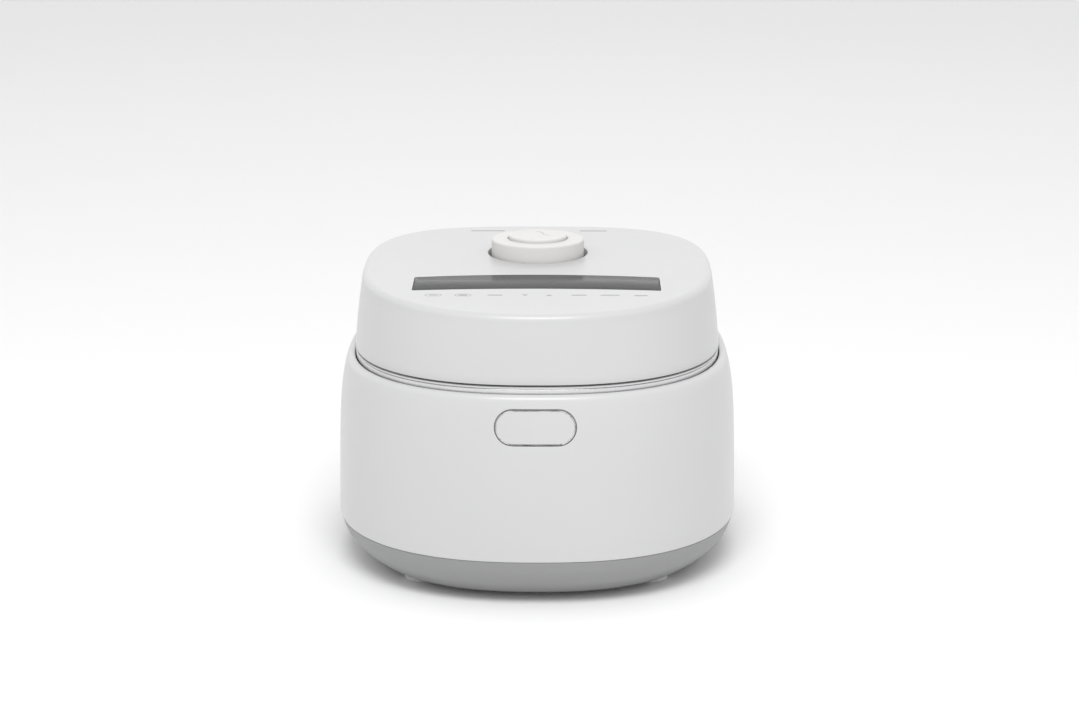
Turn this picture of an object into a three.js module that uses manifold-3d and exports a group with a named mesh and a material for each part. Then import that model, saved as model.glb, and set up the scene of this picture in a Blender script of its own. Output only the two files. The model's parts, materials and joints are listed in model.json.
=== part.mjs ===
// Compact induction rice cooker: a rounded white body on a grey base cover, a deep hinged lid with
// a display window and a lift-out steam cap, an inner pot over an induction coil, and the latch,
// hinge, fan and boards inside. Millimetres, +Z up, +X to the right of someone facing the front,
// the front towards -Y, the floor at Z = 0.
import * as THREE from 'three';
import { mergeVertices } from 'three/addons/utils/BufferGeometryUtils.js';
import Module from 'manifold-3d';

const wasm = await Module();
wasm.setup();

// ---- Driving dimensions ------------------------------------------------------------------------

const HALF_WIDTH = 115.6;          // widest half section of the body
const FRONT_DEPTH = 126.35;        // from the widest line forward to the front
const REAR_DEPTH = 117.6;          // from the widest line back to the rear wall
const FRONT_POWER = 2.366;         // roundness of the plan's front half; 2 is an ellipse
const LID_POWER = 2.188;           // the same, round the lid's top edge
const REAR_POWER = 3.2;            // roundness of the squarer rear half
const WALL = 2.5;                  // moulded wall thickness
const GAP = 0.3;                   // clearance between pieces that meet
const PLAN_STEPS = 40;             // points round a plan section
const ROUND_STEPS = 28;            // points round a turned piece

const FOOT_X = 64.5;
const FOOT_Y = 72;
const FOOT_RADIUS = 10;
const BASE_FLOOR_Z = 3.4;
const BASE_INSIDE_Z = 6.2;
const BASE_SEAM_Z = 26.8;          // joint of the grey base cover and the white shell
const CREST_Z = 118.9;             // top of the body's shoulder
const CREST_INSET = 9.4;
const RING_INSET = 10.8;           // outer face of the metal ring band
const RING_TOP_Z = 121.3;
const RING_BOTTOM_Z = 116.9;
const FRAME_TOP_Z = 122.4;         // top of the white lip over the ring
const FRAME_BOTTOM_Z = 116.6;

const LID_EDGE_Z = 123.55;         // lower edge of the lid
const LID_EDGE_INSET = 10.6;
const LID_TOP_INSET = 14.7;        // where the wall meets the top fillet
const LID_FILLET = 4;
const LID_TOP_Z = 165.74;          // lid top above the widest line
const LID_SLOPE = 0.04;            // rise of the lid top towards the rear, per mm
const PAN_RADIUS = 87.5;           // recess under the lid that holds the inner lid
const PAN_TOP_Z = 134;

const POT_Y = -4;                  // centre line of pot and coil
const POT_RADIUS = 82;
const POT_FLANGE_RADIUS = 90;
const POT_FLANGE_Z = 121.4;
const POT_BOTTOM_Z = 36;
const POT_WALL = 2.2;
const HOUSING_TOP_Z = 116.2;

const CAP_Y = 33.2;                // centre of the steam cap
const CAP_RADIUS = 27.36;
const CAP_TOP_Z = 175.53;
const CAP_FOOT_Z = 161.5;
const WELL_RADIUS = 29.4;
const WELL_FLOOR_Z = 161;
const WELL_WALL = 2.2;
const DISC_RADIUS = 17.2;
const DISC_TOP_Z = 177.6;
const STEAM_BORE = 6.5;
const STEAM_TUBE_RADIUS = 8.6;

const WINDOW_HALF = 69.2;          // display window: half length, then its edges' Y at mid and ends
const WINDOW_FRONT = [-53.8, -58];
const WINDOW_REAR = [-22.2, -28.4];
const WINDOW_THICK = 2.2;

const PIN_Y = 114;                 // hinge pin axis
const PIN_Z = 127;
const PIN_RADIUS = 2;
const BARREL_RADIUS = 7.4;
const BARREL_HALF = 36;
const EAR_INNER = 36.6;
const EAR_OUTER = 49;
const HINGE_REACH = FRONT_DEPTH;   // rear face of the hinge housing
const HINGE_SCREW_X = 41;
const HINGE_SCREW_Z = 104;
const NOTCH_RADIUS = 8.4;

const BUTTON_Z = 102;
const BUTTON_LENGTH = 42.8;
const BUTTON_HEIGHT = 18.2;
const BUTTON_GAP = 0.9;
const BUTTON_SKIN = 2.6;

const LATCH_Y = -105;              // latch pivot
const LATCH_Z = 110.5;
const HOOK_HALF = 8;
const HOOK_TOP_Z = 131.4;

const FAN_X = 48;
const FAN_Y = -46;
const FAN_HALF = 25;
const FAN_BOTTOM_Z = 8.3;
const FAN_TOP_Z = 18.3;

const INLET_Z = 52;
const INLET_HALF = 22;
const INLET_HALF_HEIGHT = 15;

// ---- Colours: [hex, roughness, metalness] -------------------------------------------------------

const FINISH = {
  white: [0xeeeeec, 0.32, 0],
  warmWhite: [0xebeae5, 0.36, 0],
  grey: [0xb4b5b6, 0.45, 0],
  darkPlastic: [0x2b2c2e, 0.55, 0],
  window: [0x4b4c4f, 0.18, 0],
  rubber: [0xc9c9c6, 0.8, 0],
  darkRubber: [0x3a3a3b, 0.85, 0],
  satinMetal: [0xc4c5c7, 0.3, 0.9],
  steel: [0xb5b7ba, 0.35, 1],
  aluminium: [0xb9bbbd, 0.4, 1],
  potCoating: [0x54565a, 0.45, 0.4],
  copper: [0xb06a3c, 0.35, 1],
  ferrite: [0x3a3b3f, 0.7, 0],
  board: [0x2e6b46, 0.6, 0],
};

// ---- Solids and booleans ------------------------------------------------------------------------

function toSolid(geometry) {
  const plain = geometry.clone();
  plain.deleteAttribute('normal');
  plain.deleteAttribute('uv');
  const merged = mergeVertices(plain, 1e-4);
  const vertProperties = new Float32Array(merged.attributes.position.array);
  const triVerts = new Uint32Array(merged.index.array);
  return new wasm.Manifold(new wasm.Mesh({ numProp: 3, vertProperties, triVerts }));
}

function toGeometry(solid) {
  const mesh = solid.getMesh();
  const geometry = new THREE.BufferGeometry();
  geometry.setAttribute('position', new THREE.BufferAttribute(mesh.vertProperties, 3));
  geometry.setIndex(new THREE.BufferAttribute(mesh.triVerts, 1));
  geometry.computeVertexNormals();
  return geometry;
}

const join = (...solids) => solids.reduce((whole, next) => whole.add(next));

const cut = (solid, ...tools) => tools.reduce((rest, tool) => rest.subtract(tool), solid);

function box(x0, x1, y0, y1, z0, z1) {
  const geometry = new THREE.BoxGeometry(x1 - x0, y1 - y0, z1 - z0);
  geometry.translate((x0 + x1) / 2, (y0 + y1) / 2, (z0 + z1) / 2);
  return toSolid(geometry);
}

// Solid of revolution about a vertical axis at (x, y). The profile is [radius, z] pairs going up
// the outside and down the inside; it starts and ends on the axis, or is closed here.
function turned(profile, x, y, steps = ROUND_STEPS) {
  const points = profile.map(([radius, z]) => new THREE.Vector2(radius, z));
  if (profile[0][0] > 0) points.push(points[0].clone());
  const geometry = new THREE.LatheGeometry(points, steps);
  geometry.rotateX(Math.PI / 2);
  geometry.translate(x, y, 0);
  return toSolid(geometry);
}

const disc = (radius, z0, z1, x, y, steps) =>
  turned([[0, z0], [radius, z0], [radius, z1], [0, z1]], x, y, steps);

const tube = (inner, outer, z0, z1, x, y, steps) =>
  turned([[inner, z0], [outer, z0], [outer, z1], [inner, z1]], x, y, steps);

function barX(radius, x0, x1, y, z, steps = 24) {
  const geometry = new THREE.CylinderGeometry(radius, radius, x1 - x0, steps);
  geometry.rotateZ(Math.PI / 2);
  geometry.translate((x0 + x1) / 2, y, z);
  return toSolid(geometry);
}

function barY(radius, y0, y1, x, z, steps = 16) {
  const geometry = new THREE.CylinderGeometry(radius, radius, y1 - y0, steps);
  geometry.translate(x, (y0 + y1) / 2, z);
  return toSolid(geometry);
}

function extruded(outline, depth, curveSegments) {
  return new THREE.ExtrudeGeometry(outline, { depth, bevelEnabled: false, curveSegments });
}

// A (y, z) outline pushed along X.
function pushedX(outline, x0, x1, curveSegments = 10) {
  const geometry = extruded(outline, x1 - x0, curveSegments);
  geometry.applyMatrix4(new THREE.Matrix4().set(0, 0, 1, x0, 1, 0, 0, 0, 0, 1, 0, 0, 0, 0, 0, 1));
  return toSolid(geometry);
}

// An (x, z) outline pushed along Y.
function pushedY(outline, y0, y1, curveSegments = 8) {
  const geometry = extruded(outline, y1 - y0, curveSegments);
  geometry.rotateX(Math.PI / 2);
  geometry.translate(0, y1, 0);
  return toSolid(geometry);
}

// An (x, y) outline lying parallel to the sloping lid top, between two depths below it.
function underLidTop(outline, deep, shallow, curveSegments = 8) {
  const geometry = extruded(outline, deep - shallow, curveSegments);
  const z = LID_TOP_Z - deep;
  const shear = new THREE.Matrix4().set(1, 0, 0, 0, 0, 1, 0, 0, 0, LID_SLOPE, 1, z, 0, 0, 0, 1);
  return toSolid(geometry.applyMatrix4(shear));
}

const polygon = (points) => new THREE.Shape(points.map(([u, v]) => new THREE.Vector2(u, v)));

const rectangle = (u0, u1, v0, v1) => polygon([[u0, v0], [u1, v0], [u1, v1], [u0, v1]]);

function pill(length, height, u, v) {
  const r = height / 2;
  const run = length / 2 - r;
  const shape = new THREE.Shape();
  shape.moveTo(u - run, v - r);
  shape.lineTo(u + run, v - r);
  shape.absarc(u + run, v, r, -Math.PI / 2, Math.PI / 2);
  shape.lineTo(u - run, v + r);
  shape.absarc(u - run, v, r, Math.PI / 2, Math.PI * 1.5);
  return shape;
}

// ---- The plan section and shells lofted through it ----------------------------------------------

// Point on the rounded plan outline drawn in by the ring's inset; its height may depend on y.
function planPoint(angle, { inset, z, height, power = FRONT_POWER }) {
  const c = Math.cos(angle);
  const s = Math.sin(angle);
  const front = s < 0;
  const exponent = 2 / (front ? power : REAR_POWER);
  const depth = (front ? FRONT_DEPTH : REAR_DEPTH) - inset;
  const x = Math.sign(c) * (HALF_WIDTH - inset) * Math.abs(c) ** exponent;
  const y = Math.sign(s) * depth * Math.abs(s) ** exponent;
  return [x, y, height ? height(y) : z];
}

// Loft through rings from the bottom up. A closed loft joins its last ring to its first; an open
// one is capped at both ends.
function loft(rings, closed = false) {
  const positions = rings.flatMap((ring) =>
    Array.from({ length: PLAN_STEPS }, (_, i) => planPoint((i / PLAN_STEPS) * Math.PI * 2, ring)),
  );
  const index = [];
  const corner = (ring, i) => (ring % rings.length) * PLAN_STEPS + (i % PLAN_STEPS);
  for (let ring = 0; ring < rings.length - (closed ? 0 : 1); ring += 1) {
    for (let i = 0; i < PLAN_STEPS; i += 1) {
      const [a, b] = [corner(ring, i), corner(ring, i + 1)];
      const [c, d] = [corner(ring + 1, i), corner(ring + 1, i + 1)];
      index.push(a, b, d, a, d, c);
    }
  }
  if (!closed) {
    const ends = [rings[0], rings.at(-1)];
    ends.forEach((ring, end) => {
      const centre = positions.length;
      positions.push([0, 0, ring.height ? ring.height(0) : ring.z]);
      const last = end ? rings.length - 1 : 0;
      for (let i = 0; i < PLAN_STEPS; i += 1) {
        const [a, b] = [corner(last, i), corner(last, i + 1)];
        index.push(centre, end ? a : b, end ? b : a);
      }
    });
  }
  const geometry = new THREE.BufferGeometry();
  geometry.setAttribute('position', new THREE.Float32BufferAttribute(positions.flat(), 3));
  geometry.setIndex(index);
  return toSolid(geometry);
}

const at = (inset, z) => ({ inset, z });

// Outer profile of the base cover, then of the white shell: inset against height.
const BASE_CURVE = [
  at(20.2, BASE_FLOOR_Z), at(17.9, 4), at(11.6, 8), at(5.9, 13), at(2.2, 19), at(0.2, BASE_SEAM_Z - GAP),
];
const SHELL_CURVE = [
  at(0, BASE_SEAM_Z + GAP), at(0, 34), at(0.3, 50), at(0.7, 70), at(1.4, 88), at(2.4, 100), at(3.6, 108),
  at(4.9, 114), at(6.1, 117.2), at(7.6, 118.6), at(CREST_INSET, CREST_Z),
];

// The whole body's outside as one block, drawn in by inset.
function bodyBlock(inset) {
  return loft([...BASE_CURVE, ...SHELL_CURVE].map((ring) => at(ring.inset + inset, ring.z)));
}

// ---- Body ---------------------------------------------------------------------------------------

function buttonHole(grow, y0, y1) {
  return pushedY(pill(BUTTON_LENGTH + 2 * grow, BUTTON_HEIGHT + 2 * grow, 0, BUTTON_Z), y0, y1);
}

function inletBlock(grow, y0, y1) {
  const half = INLET_HALF + grow;
  const halfHeight = INLET_HALF_HEIGHT + grow;
  return box(-half, half, y0, y1, INLET_Z - halfHeight, INLET_Z + halfHeight);
}

function bodyShell() {
  const lip = CREST_INSET + 0.9;
  const inside = [
    at(lip, 118.4), at(lip, FRAME_BOTTOM_Z), at(8, 114.5), at(5.2, 102), at(WALL + 0.7, 70),
    at(WALL, BASE_SEAM_Z + GAP),
  ];
  const shell = loft([...SHELL_CURVE, ...inside], true);
  const screwHoles = [-HINGE_SCREW_X, HINGE_SCREW_X].map((x) => barY(1.8, 100, 130, x, HINGE_SCREW_Z, 12));
  return cut(shell, buttonHole(BUTTON_GAP, -135, -112), inletBlock(GAP, 110, 130), ...screwHoles);
}

function baseScrewSpots() {
  return [[-36, -88], [36, -88], [-36, 88], [36, 88]];
}

function footSpots() {
  return [[-FOOT_X, -FOOT_Y], [FOOT_X, -FOOT_Y], [-FOOT_X, FOOT_Y], [FOOT_X, FOOT_Y]];
}

function baseCover() {
  const hollow = loft([
    at(22, BASE_INSIDE_Z), at(20, 7), at(14.2, 9.9), at(8.4, 14.8), at(4.7, 20), at(2.7, 30),
  ]);
  const bosses = baseScrewSpots().map(([x, y]) => disc(5, 5, 10, x, y, 16));
  const bores = baseScrewSpots().map(([x, y]) =>
    turned([[0, 2], [3.6, 2], [3.6, 7], [1.8, 7], [1.8, 11], [0, 11]], x, y, 16));
  const studs = footSpots().map(([x, y]) => disc(2.3, 2, 8, x, y, 12));
  const vents = [-2, -1, 0, 1, 2].map((k) =>
    box(FAN_X + k * 8 - 2, FAN_X + k * 8 + 2, FAN_Y - 13, FAN_Y + 15, 2, 8));
  return cut(join(cut(loft(BASE_CURVE), hollow), ...bosses), ...bores, ...studs, ...vents);
}

function rimRing() {
  const inner = RING_INSET + 1.5;
  return loft([
    at(inner, RING_BOTTOM_Z), at(RING_INSET, RING_BOTTOM_Z), at(RING_INSET, RING_TOP_Z - 0.5),
    at(RING_INSET + 0.4, RING_TOP_Z), at(inner, RING_TOP_Z),
  ], true);
}

function upperFrame() {
  const under = RING_TOP_Z + GAP - 0.1;
  const slab = loft([
    at(RING_INSET + 1.8, FRAME_BOTTOM_Z), at(RING_INSET + 1.8, under), at(RING_INSET, under),
    at(RING_INSET - 0.1, under + 0.3), at(RING_INSET + 0.2, FRAME_TOP_Z),
  ]);
  const seat = disc(POT_FLANGE_RADIUS + 2, 119.6, 130, 0, POT_Y, 36);
  const mouth = disc(POT_RADIUS + 3.4, 110, 130, 0, POT_Y, 36);
  const hookSlot = box(-HOOK_HALF - 1.5, HOOK_HALF + 1.5, LATCH_Y - 6.5, LATCH_Y + 6.5, 110, 130);
  return cut(slab, seat, mouth, hookSlot);
}

function potHousing() {
  const wall = POT_RADIUS + 2.2;
  return turned([
    [18.5, 31.5], [62, 31.5], [76, 37], [84, 52], [wall + 2, 70], [wall + 2, HOUSING_TOP_Z],
    [wall, HOUSING_TOP_Z], [wall, 70.4], [82, 53.4], [74.6, 39.2], [61.4, 33.6], [18.5, 33.6],
  ], 0, POT_Y, 36);
}

function innerPot() {
  const r = POT_RADIUS;
  const bore = POT_RADIUS - POT_WALL;
  return turned([
    [0, POT_BOTTOM_Z], [58, POT_BOTTOM_Z], [68, 38.8], [76, 46], [80.6, 56], [r, 68],
    [r, POT_FLANGE_Z - 1.5], [POT_FLANGE_RADIUS, POT_FLANGE_Z - 1.5],
    [POT_FLANGE_RADIUS, POT_FLANGE_Z], [bore, POT_FLANGE_Z], [bore, 68.4], [78.4, 57],
    [74.2, 47.6], [67, 41], [57.6, POT_BOTTOM_Z + POT_WALL], [0, POT_BOTTOM_Z + POT_WALL],
  ], 0, POT_Y, 36);
}

function foot(x, y) {
  return turned([
    [0, 0], [FOOT_RADIUS - 1, 0], [FOOT_RADIUS, 0.8], [FOOT_RADIUS, 3], [2, 3], [2, 5.9], [0, 5.9],
  ], x, y, 24);
}

function baseScrew(x, y) {
  return turned([[0, 4.6], [3.2, 4.6], [3.2, 6.7], [1.5, 6.7], [1.5, 13], [0, 13]], x, y, 14);
}

// ---- Induction heating and temperature sensor ---------------------------------------------------

function inductionCoil() {
  const inner = 24;
  const pitch = 7;
  const ridges = [4, 3, 2, 1, 0].flatMap((k) =>
    [[inner + (k + 1) * pitch, 30.6], [inner + (k + 0.5) * pitch, 31.1]]);
  return turned([[inner, 27], [inner + 5 * pitch, 27], ...ridges, [inner, 30.6]], 0, POT_Y);
}

function coilHolder() {
  return turned([
    [6, 19.6], [18.5, 19.6], [18.5, 24.2], [63, 24.2], [63, 30.6], [61.4, 30.6], [61.4, 26.7],
    [17, 26.7], [17, 21], [6, 21],
  ], 0, POT_Y);
}

function ferriteBar(k) {
  const geometry = new THREE.BoxGeometry(38, 11, 3.6);
  geometry.translate(41, 0, 22);
  geometry.rotateZ(((k + 0.5) * Math.PI) / 2);
  geometry.translate(0, POT_Y, 0);
  return toSolid(geometry);
}

function temperatureSensor() {
  return turned([
    [0, 28.6], [14, 28.6], [14, 34.9], [13.2, 35.7], [0, 35.7],
  ], 0, POT_Y);
}

// Round wire wound about the Z axis from z = 0 up.
class Winding extends THREE.Curve {
  constructor(radius, length, turns) {
    super();
    this.radius = radius;
    this.length = length;
    this.turns = turns;
  }

  getPoint(t, target = new THREE.Vector3()) {
    const angle = t * this.turns * Math.PI * 2;
    return target.set(this.radius * Math.cos(angle), this.radius * Math.sin(angle), this.length * t);
  }
}

function wireCoil(radius, wire, length, turns) {
  const section = new THREE.Shape().absarc(0, 0, wire, 0, Math.PI * 2);
  const extrudePath = new Winding(radius, length, turns);
  const steps = turns * 8;
  return new THREE.ExtrudeGeometry(section, { steps, extrudePath, curveSegments: 2 });
}

function sensorSpring() {
  return toSolid(wireCoil(9, 0.7, 5.2, 3).translate(0, POT_Y, 22.2));
}

// ---- Open button and latch ----------------------------------------------------------------------

function openButton() {
  const skin = buttonHole(0, -135, -112).intersect(cut(bodyBlock(0), bodyBlock(BUTTON_SKIN)));
  const stem = box(-6, 6, -121.6, -114.4, BUTTON_Z - 6, BUTTON_Z + 2);
  const nose = barY(2, -114.6, LATCH_Y - 5.3, 0, BUTTON_Z - 3.5, 12);
  return join(skin, stem, nose);
}

function buttonSpring(side) {
  const geometry = wireCoil(3, 0.45, 6.2, 3).rotateX(-Math.PI / 2);
  return toSolid(geometry.translate(side * 15, -119.6, BUTTON_Z));
}

function latchHook() {
  const side = polygon([
    [LATCH_Y - 4.5, 96], [LATCH_Y - 1.5, 96], [LATCH_Y + 0.6, 103], [LATCH_Y + 4, LATCH_Z],
    [LATCH_Y + 2, 114.5], [LATCH_Y + 1.6, 126.4], [LATCH_Y + 4.2, 127.4],
    [LATCH_Y + 4.2, 128.8], [LATCH_Y + 1.6, HOOK_TOP_Z], [LATCH_Y - 1.5, HOOK_TOP_Z],
    [LATCH_Y - 2.2, 114.5], [LATCH_Y - 4, LATCH_Z], [LATCH_Y - 4.5, 103],
  ]);
  const bore = barX(PIN_RADIUS + 0.1, -20, 20, LATCH_Y, LATCH_Z, 16);
  return cut(pushedX(side, -HOOK_HALF, HOOK_HALF), bore);
}

function latchBracket() {
  const side = rectangle(LATCH_Y - 5, LATCH_Y + 6, 92, FRAME_BOTTOM_Z - GAP);
  const floor = box(-14, 14, LATCH_Y - 5, LATCH_Y + 6, 92, 94);
  const springSeats = box(-20, 20, LATCH_Y - 5, LATCH_Y - 3.6, 92, 108);
  const windowForHook = box(-11.6, 11.6, LATCH_Y - 8, LATCH_Y, 94, 120);
  const cheeks = [pushedX(side, -14, -11.6), pushedX(side, 11.6, 14)];
  const bore = barX(PIN_RADIUS + 0.1, -20, 20, LATCH_Y, LATCH_Z, 16);
  return cut(join(floor, cut(springSeats, windowForHook), ...cheeks), bore);
}

function latchPin() {
  return barX(PIN_RADIUS, -15.5, 15.5, LATCH_Y, LATCH_Z, 16);
}

function latchSpring() {
  const geometry = wireCoil(3.4, 0.4, 2, 2).rotateY(Math.PI / 2);
  return toSolid(geometry.translate(8.8, LATCH_Y, LATCH_Z));
}

// ---- Hinge --------------------------------------------------------------------------------------

function hingeHousing() {
  const side = new THREE.Shape();
  side.moveTo(104, 80);
  side.lineTo(118.4, 80);
  side.quadraticCurveTo(HINGE_REACH - 1, 88, HINGE_REACH, 98);
  side.lineTo(HINGE_REACH, 123.5);
  side.absarc(HINGE_REACH - 2, 123.5, 2, 0, Math.PI);
  side.lineTo(HINGE_REACH - 4, 119.2);
  side.lineTo(108.4, 118.6);
  side.lineTo(104, 118.6);
  const trough = barX(BARREL_RADIUS + 0.9, -EAR_INNER, EAR_INNER, PIN_Y, PIN_Z, 32);
  const hollow = box(-EAR_OUTER + 2.4, EAR_OUTER - 2.4, 100, HINGE_REACH - 3, 92, 115.6);
  const block = cut(pushedX(side, -EAR_OUTER, EAR_OUTER), trough, hollow);
  const ears = [-1, 1].flatMap((sign) => {
    const [x0, x1] = [sign * EAR_INNER, sign * EAR_OUTER].sort((a, b) => a - b);
    const post = box(x0, x1, 108.4, HINGE_REACH - 4, 117, PIN_Z - 1);
    return [barX(BARREL_RADIUS, x0, x1, PIN_Y, PIN_Z, 28), post];
  });
  const bore = barX(PIN_RADIUS + 0.1, -46.4, 46.4, PIN_Y, PIN_Z, 16);
  const screwSides = [-HINGE_SCREW_X, HINGE_SCREW_X];
  const bosses = screwSides.map((x) => barY(5, 108, HINGE_REACH - 2, x, HINGE_SCREW_Z));
  const holes = screwSides.flatMap((x) => [
    barY(1.8, 100, 130, x, HINGE_SCREW_Z, 12),
    barY(3.3, HINGE_REACH - 2.4, 130, x, HINGE_SCREW_Z),
  ]);
  return cut(join(block, ...ears, ...bosses), bodyBlock(-GAP), bore, ...holes);
}

function hingeScrew(x) {
  const seat = HINGE_REACH - 2.3;
  const head = barY(3, seat, seat + 1.8, x, HINGE_SCREW_Z);
  return join(head, barY(1.5, 106, seat + 0.1, x, HINGE_SCREW_Z, 12));
}

function hingePin() {
  return barX(PIN_RADIUS, -46, 46, PIN_Y, PIN_Z, 16);
}

function hingeSpring(sign) {
  const geometry = wireCoil(4, 0.6, 14, 5).rotateY(Math.PI / 2);
  return toSolid(geometry.translate(sign > 0 ? 14 : -28, PIN_Y, PIN_Z));
}

// ---- Fan, boards and mains inlet ----------------------------------------------------------------

function fanFrame() {
  const frame = box(
    FAN_X - FAN_HALF, FAN_X + FAN_HALF, FAN_Y - FAN_HALF, FAN_Y + FAN_HALF, FAN_BOTTOM_Z, FAN_TOP_Z,
  );
  const duct = disc(FAN_HALF - 2, 0, 30, FAN_X, FAN_Y, 28);
  const hub = disc(8, FAN_BOTTOM_Z, FAN_BOTTOM_Z + 1.5, FAN_X, FAN_Y, 20);
  const arms = [0, 1, 2].map((k) => {
    const geometry = new THREE.BoxGeometry(FAN_HALF, 3, 1.5);
    geometry.translate(FAN_HALF / 2, 0, FAN_BOTTOM_Z + 0.75);
    return toSolid(geometry.rotateZ((k * Math.PI * 2) / 3 + 0.5).translate(FAN_X, FAN_Y, 0));
  });
  return join(cut(frame, duct), hub, ...arms);
}

function fanRotor() {
  const low = FAN_BOTTOM_Z + 2;
  const hub = disc(9, low, FAN_TOP_Z - 0.6, FAN_X, FAN_Y, 24);
  const blades = [0, 1, 2, 3, 4, 5, 6].map((k) => {
    const geometry = new THREE.BoxGeometry(14, 0.9, 7.6);
    geometry.rotateX(0.7).translate(14.4, 0, (low + FAN_TOP_Z) / 2);
    return toSolid(geometry.rotateZ((k * Math.PI * 2) / 7).translate(FAN_X, FAN_Y, 0));
  });
  return join(hub, ...blades);
}

const BOARD = { x0: -82, x1: -4, y0: 8, y1: 76, z0: 9.4, z1: 11 };

function heatSink() {
  const base = box(-74, -40, 18, 60, 11.3, 13.3);
  const fins = [0, 1, 2, 3, 4, 5].map((k) => box(-74 + k * 6.4, -72 + k * 6.4, 18, 60, 13, 18.8));
  return join(base, ...fins);
}

function mainsInlet() {
  const block = inletBlock(0, 104, REAR_DEPTH - 0.6);
  const half = INLET_HALF - 3.5;
  const halfHeight = INLET_HALF_HEIGHT - 3.5;
  const socket = box(-half, half, 108, 130, INLET_Z - halfHeight, INLET_Z + halfHeight);
  return cut(block, socket);
}

const inletContact = (x) => box(x - 4, x + 4, 108.3, 109.6, INLET_Z - 2.5, INLET_Z + 2.5);

// ---- Lid ----------------------------------------------------------------------------------------

// The lid's outside as one block, drawn in and lowered by the wall thickness for its inside.
function lidBlock(inset, lower, edgeZ, filletSteps) {
  const top = (drop) => (y) => LID_TOP_Z + LID_SLOPE * y - lower - drop;
  const rings = [
    { inset: LID_EDGE_INSET + inset, z: edgeZ },
    { inset: LID_EDGE_INSET + inset + 0.05, z: LID_EDGE_Z + 0.6 },
    { inset: LID_EDGE_INSET + inset + 2, z: 142, power: (FRONT_POWER + LID_POWER) / 2 },
  ];
  for (let step = 0; step <= filletSteps; step += 1) {
    const turn = (step / filletSteps) * (Math.PI / 2);
    rings.push({
      inset: LID_TOP_INSET + inset + LID_FILLET * (1 - Math.cos(turn)),
      height: top(LID_FILLET * (1 - Math.sin(turn))),
      power: LID_POWER,
    });
  }
  return loft(rings);
}

function windowOutline(grow) {
  const half = WINDOW_HALF + grow;
  const [frontMid, frontEnd] = WINDOW_FRONT.map((y) => y - grow);
  const [rearMid, rearEnd] = WINDOW_REAR.map((y) => y + grow);
  const shape = new THREE.Shape();
  shape.moveTo(-half, frontEnd);
  shape.quadraticCurveTo(0, 2 * frontMid - frontEnd, half, frontEnd);
  shape.lineTo(half, rearEnd);
  shape.quadraticCurveTo(0, 2 * rearMid - rearEnd, -half, rearEnd);
  return shape;
}

function earNotches() {
  return [-1, 1].map((sign) => {
    const [x0, x1] = [sign * (EAR_INNER - 0.5), sign * (EAR_OUTER + 0.7)].sort((a, b) => a - b);
    return barX(NOTCH_RADIUS, x0, x1, PIN_Y, PIN_Z, 28);
  });
}

function lidCover() {
  const outside = lidBlock(0, 0, LID_EDGE_Z, 4);
  const shell = cut(outside, lidBlock(WALL, WALL, LID_EDGE_Z - 3, 2));
  const well = disc(WELL_RADIUS + WELL_WALL, WELL_FLOOR_Z - WELL_WALL, 175, 0, CAP_Y, 36);
  const barrel = barX(BARREL_RADIUS, -BARREL_HALF, BARREL_HALF, PIN_Y, PIN_Z, 28);
  const web = box(-BARREL_HALF, BARREL_HALF, 105.5, PIN_Y, LID_EDGE_Z + 0.3, PIN_Z + 4);
  const springRoom = barX(BARREL_RADIUS - 1.8, -BARREL_HALF + 3, BARREL_HALF - 3, PIN_Y, PIN_Z);
  const bore = barX(PIN_RADIUS + 0.1, -50, 50, PIN_Y, PIN_Z, 16);
  return cut(
    join(shell, well.intersect(outside), barrel, web),
    disc(WELL_RADIUS, WELL_FLOOR_Z, 180, 0, CAP_Y, 36),
    disc(STEAM_TUBE_RADIUS + GAP, 150, 170, 0, CAP_Y, 24),
    underLidTop(windowOutline(GAP), 6, -2),
    springRoom,
    bore,
    ...earNotches(),
  );
}

function lidFrame() {
  const inset = LID_EDGE_INSET + WALL + GAP;
  const plate = loft([at(inset, LID_EDGE_Z + 0.3), at(inset + 0.3, LID_EDGE_Z + 2.8)]);
  const pan = disc(PAN_RADIUS + 2, LID_EDGE_Z + 1, PAN_TOP_Z + 2, 0, POT_Y, 36);
  const recess = disc(PAN_RADIUS, 110, PAN_TOP_Z, 0, POT_Y, 36);
  const steamHole = disc(STEAM_TUBE_RADIUS + GAP, 120, 150, 0, CAP_Y, 24);
  const slot = box(-HOOK_HALF - 2, HOOK_HALF + 2, LATCH_Y - 6.5, LATCH_Y + 6.5, 120, 128);
  return cut(join(plate, pan), recess, steamHole, slot, ...earNotches());
}

function lidCatch() {
  return box(-13, 13, LATCH_Y + 4.6, LATCH_Y + 10.8, LID_EDGE_Z + 3.1, LID_EDGE_Z + 4.6);
}

function innerLid() {
  const plate = turned([
    [0, 130.2], [60, 130.2], [66, 129.2], [82, 129.2], [82, 130.8], [66, 130.8], [60, 131.2], [0, 131.2],
  ], 0, POT_Y, 36);
  return cut(plate, disc(STEAM_BORE, 120, 140, 0, CAP_Y, 20));
}

function innerLidGasket() {
  return turned([
    [83, 121.7], [86.6, 121.7], [86.9, 133], [80, 133], [80, 131.3], [82.4, 131.3], [82.4, 127],
  ], 0, POT_Y, 36);
}

function steamTube() {
  return tube(STEAM_BORE, STEAM_TUBE_RADIUS, PAN_TOP_Z, WELL_FLOOR_Z + 2, 0, CAP_Y, 24);
}

function steamCap() {
  const wall = CAP_RADIUS - 2.1;
  const dish = DISC_RADIUS + 0.7;
  return turned([
    [wall, CAP_FOOT_Z], [CAP_RADIUS, CAP_FOOT_Z], [CAP_RADIUS, CAP_TOP_Z - 0.8],
    [CAP_RADIUS - 0.8, CAP_TOP_Z], [dish, CAP_TOP_Z], [dish, CAP_TOP_Z - 1], [8, CAP_TOP_Z - 1],
    [8, CAP_TOP_Z - 3], [wall, CAP_TOP_Z - 3],
  ], 0, CAP_Y, 36);
}

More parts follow.
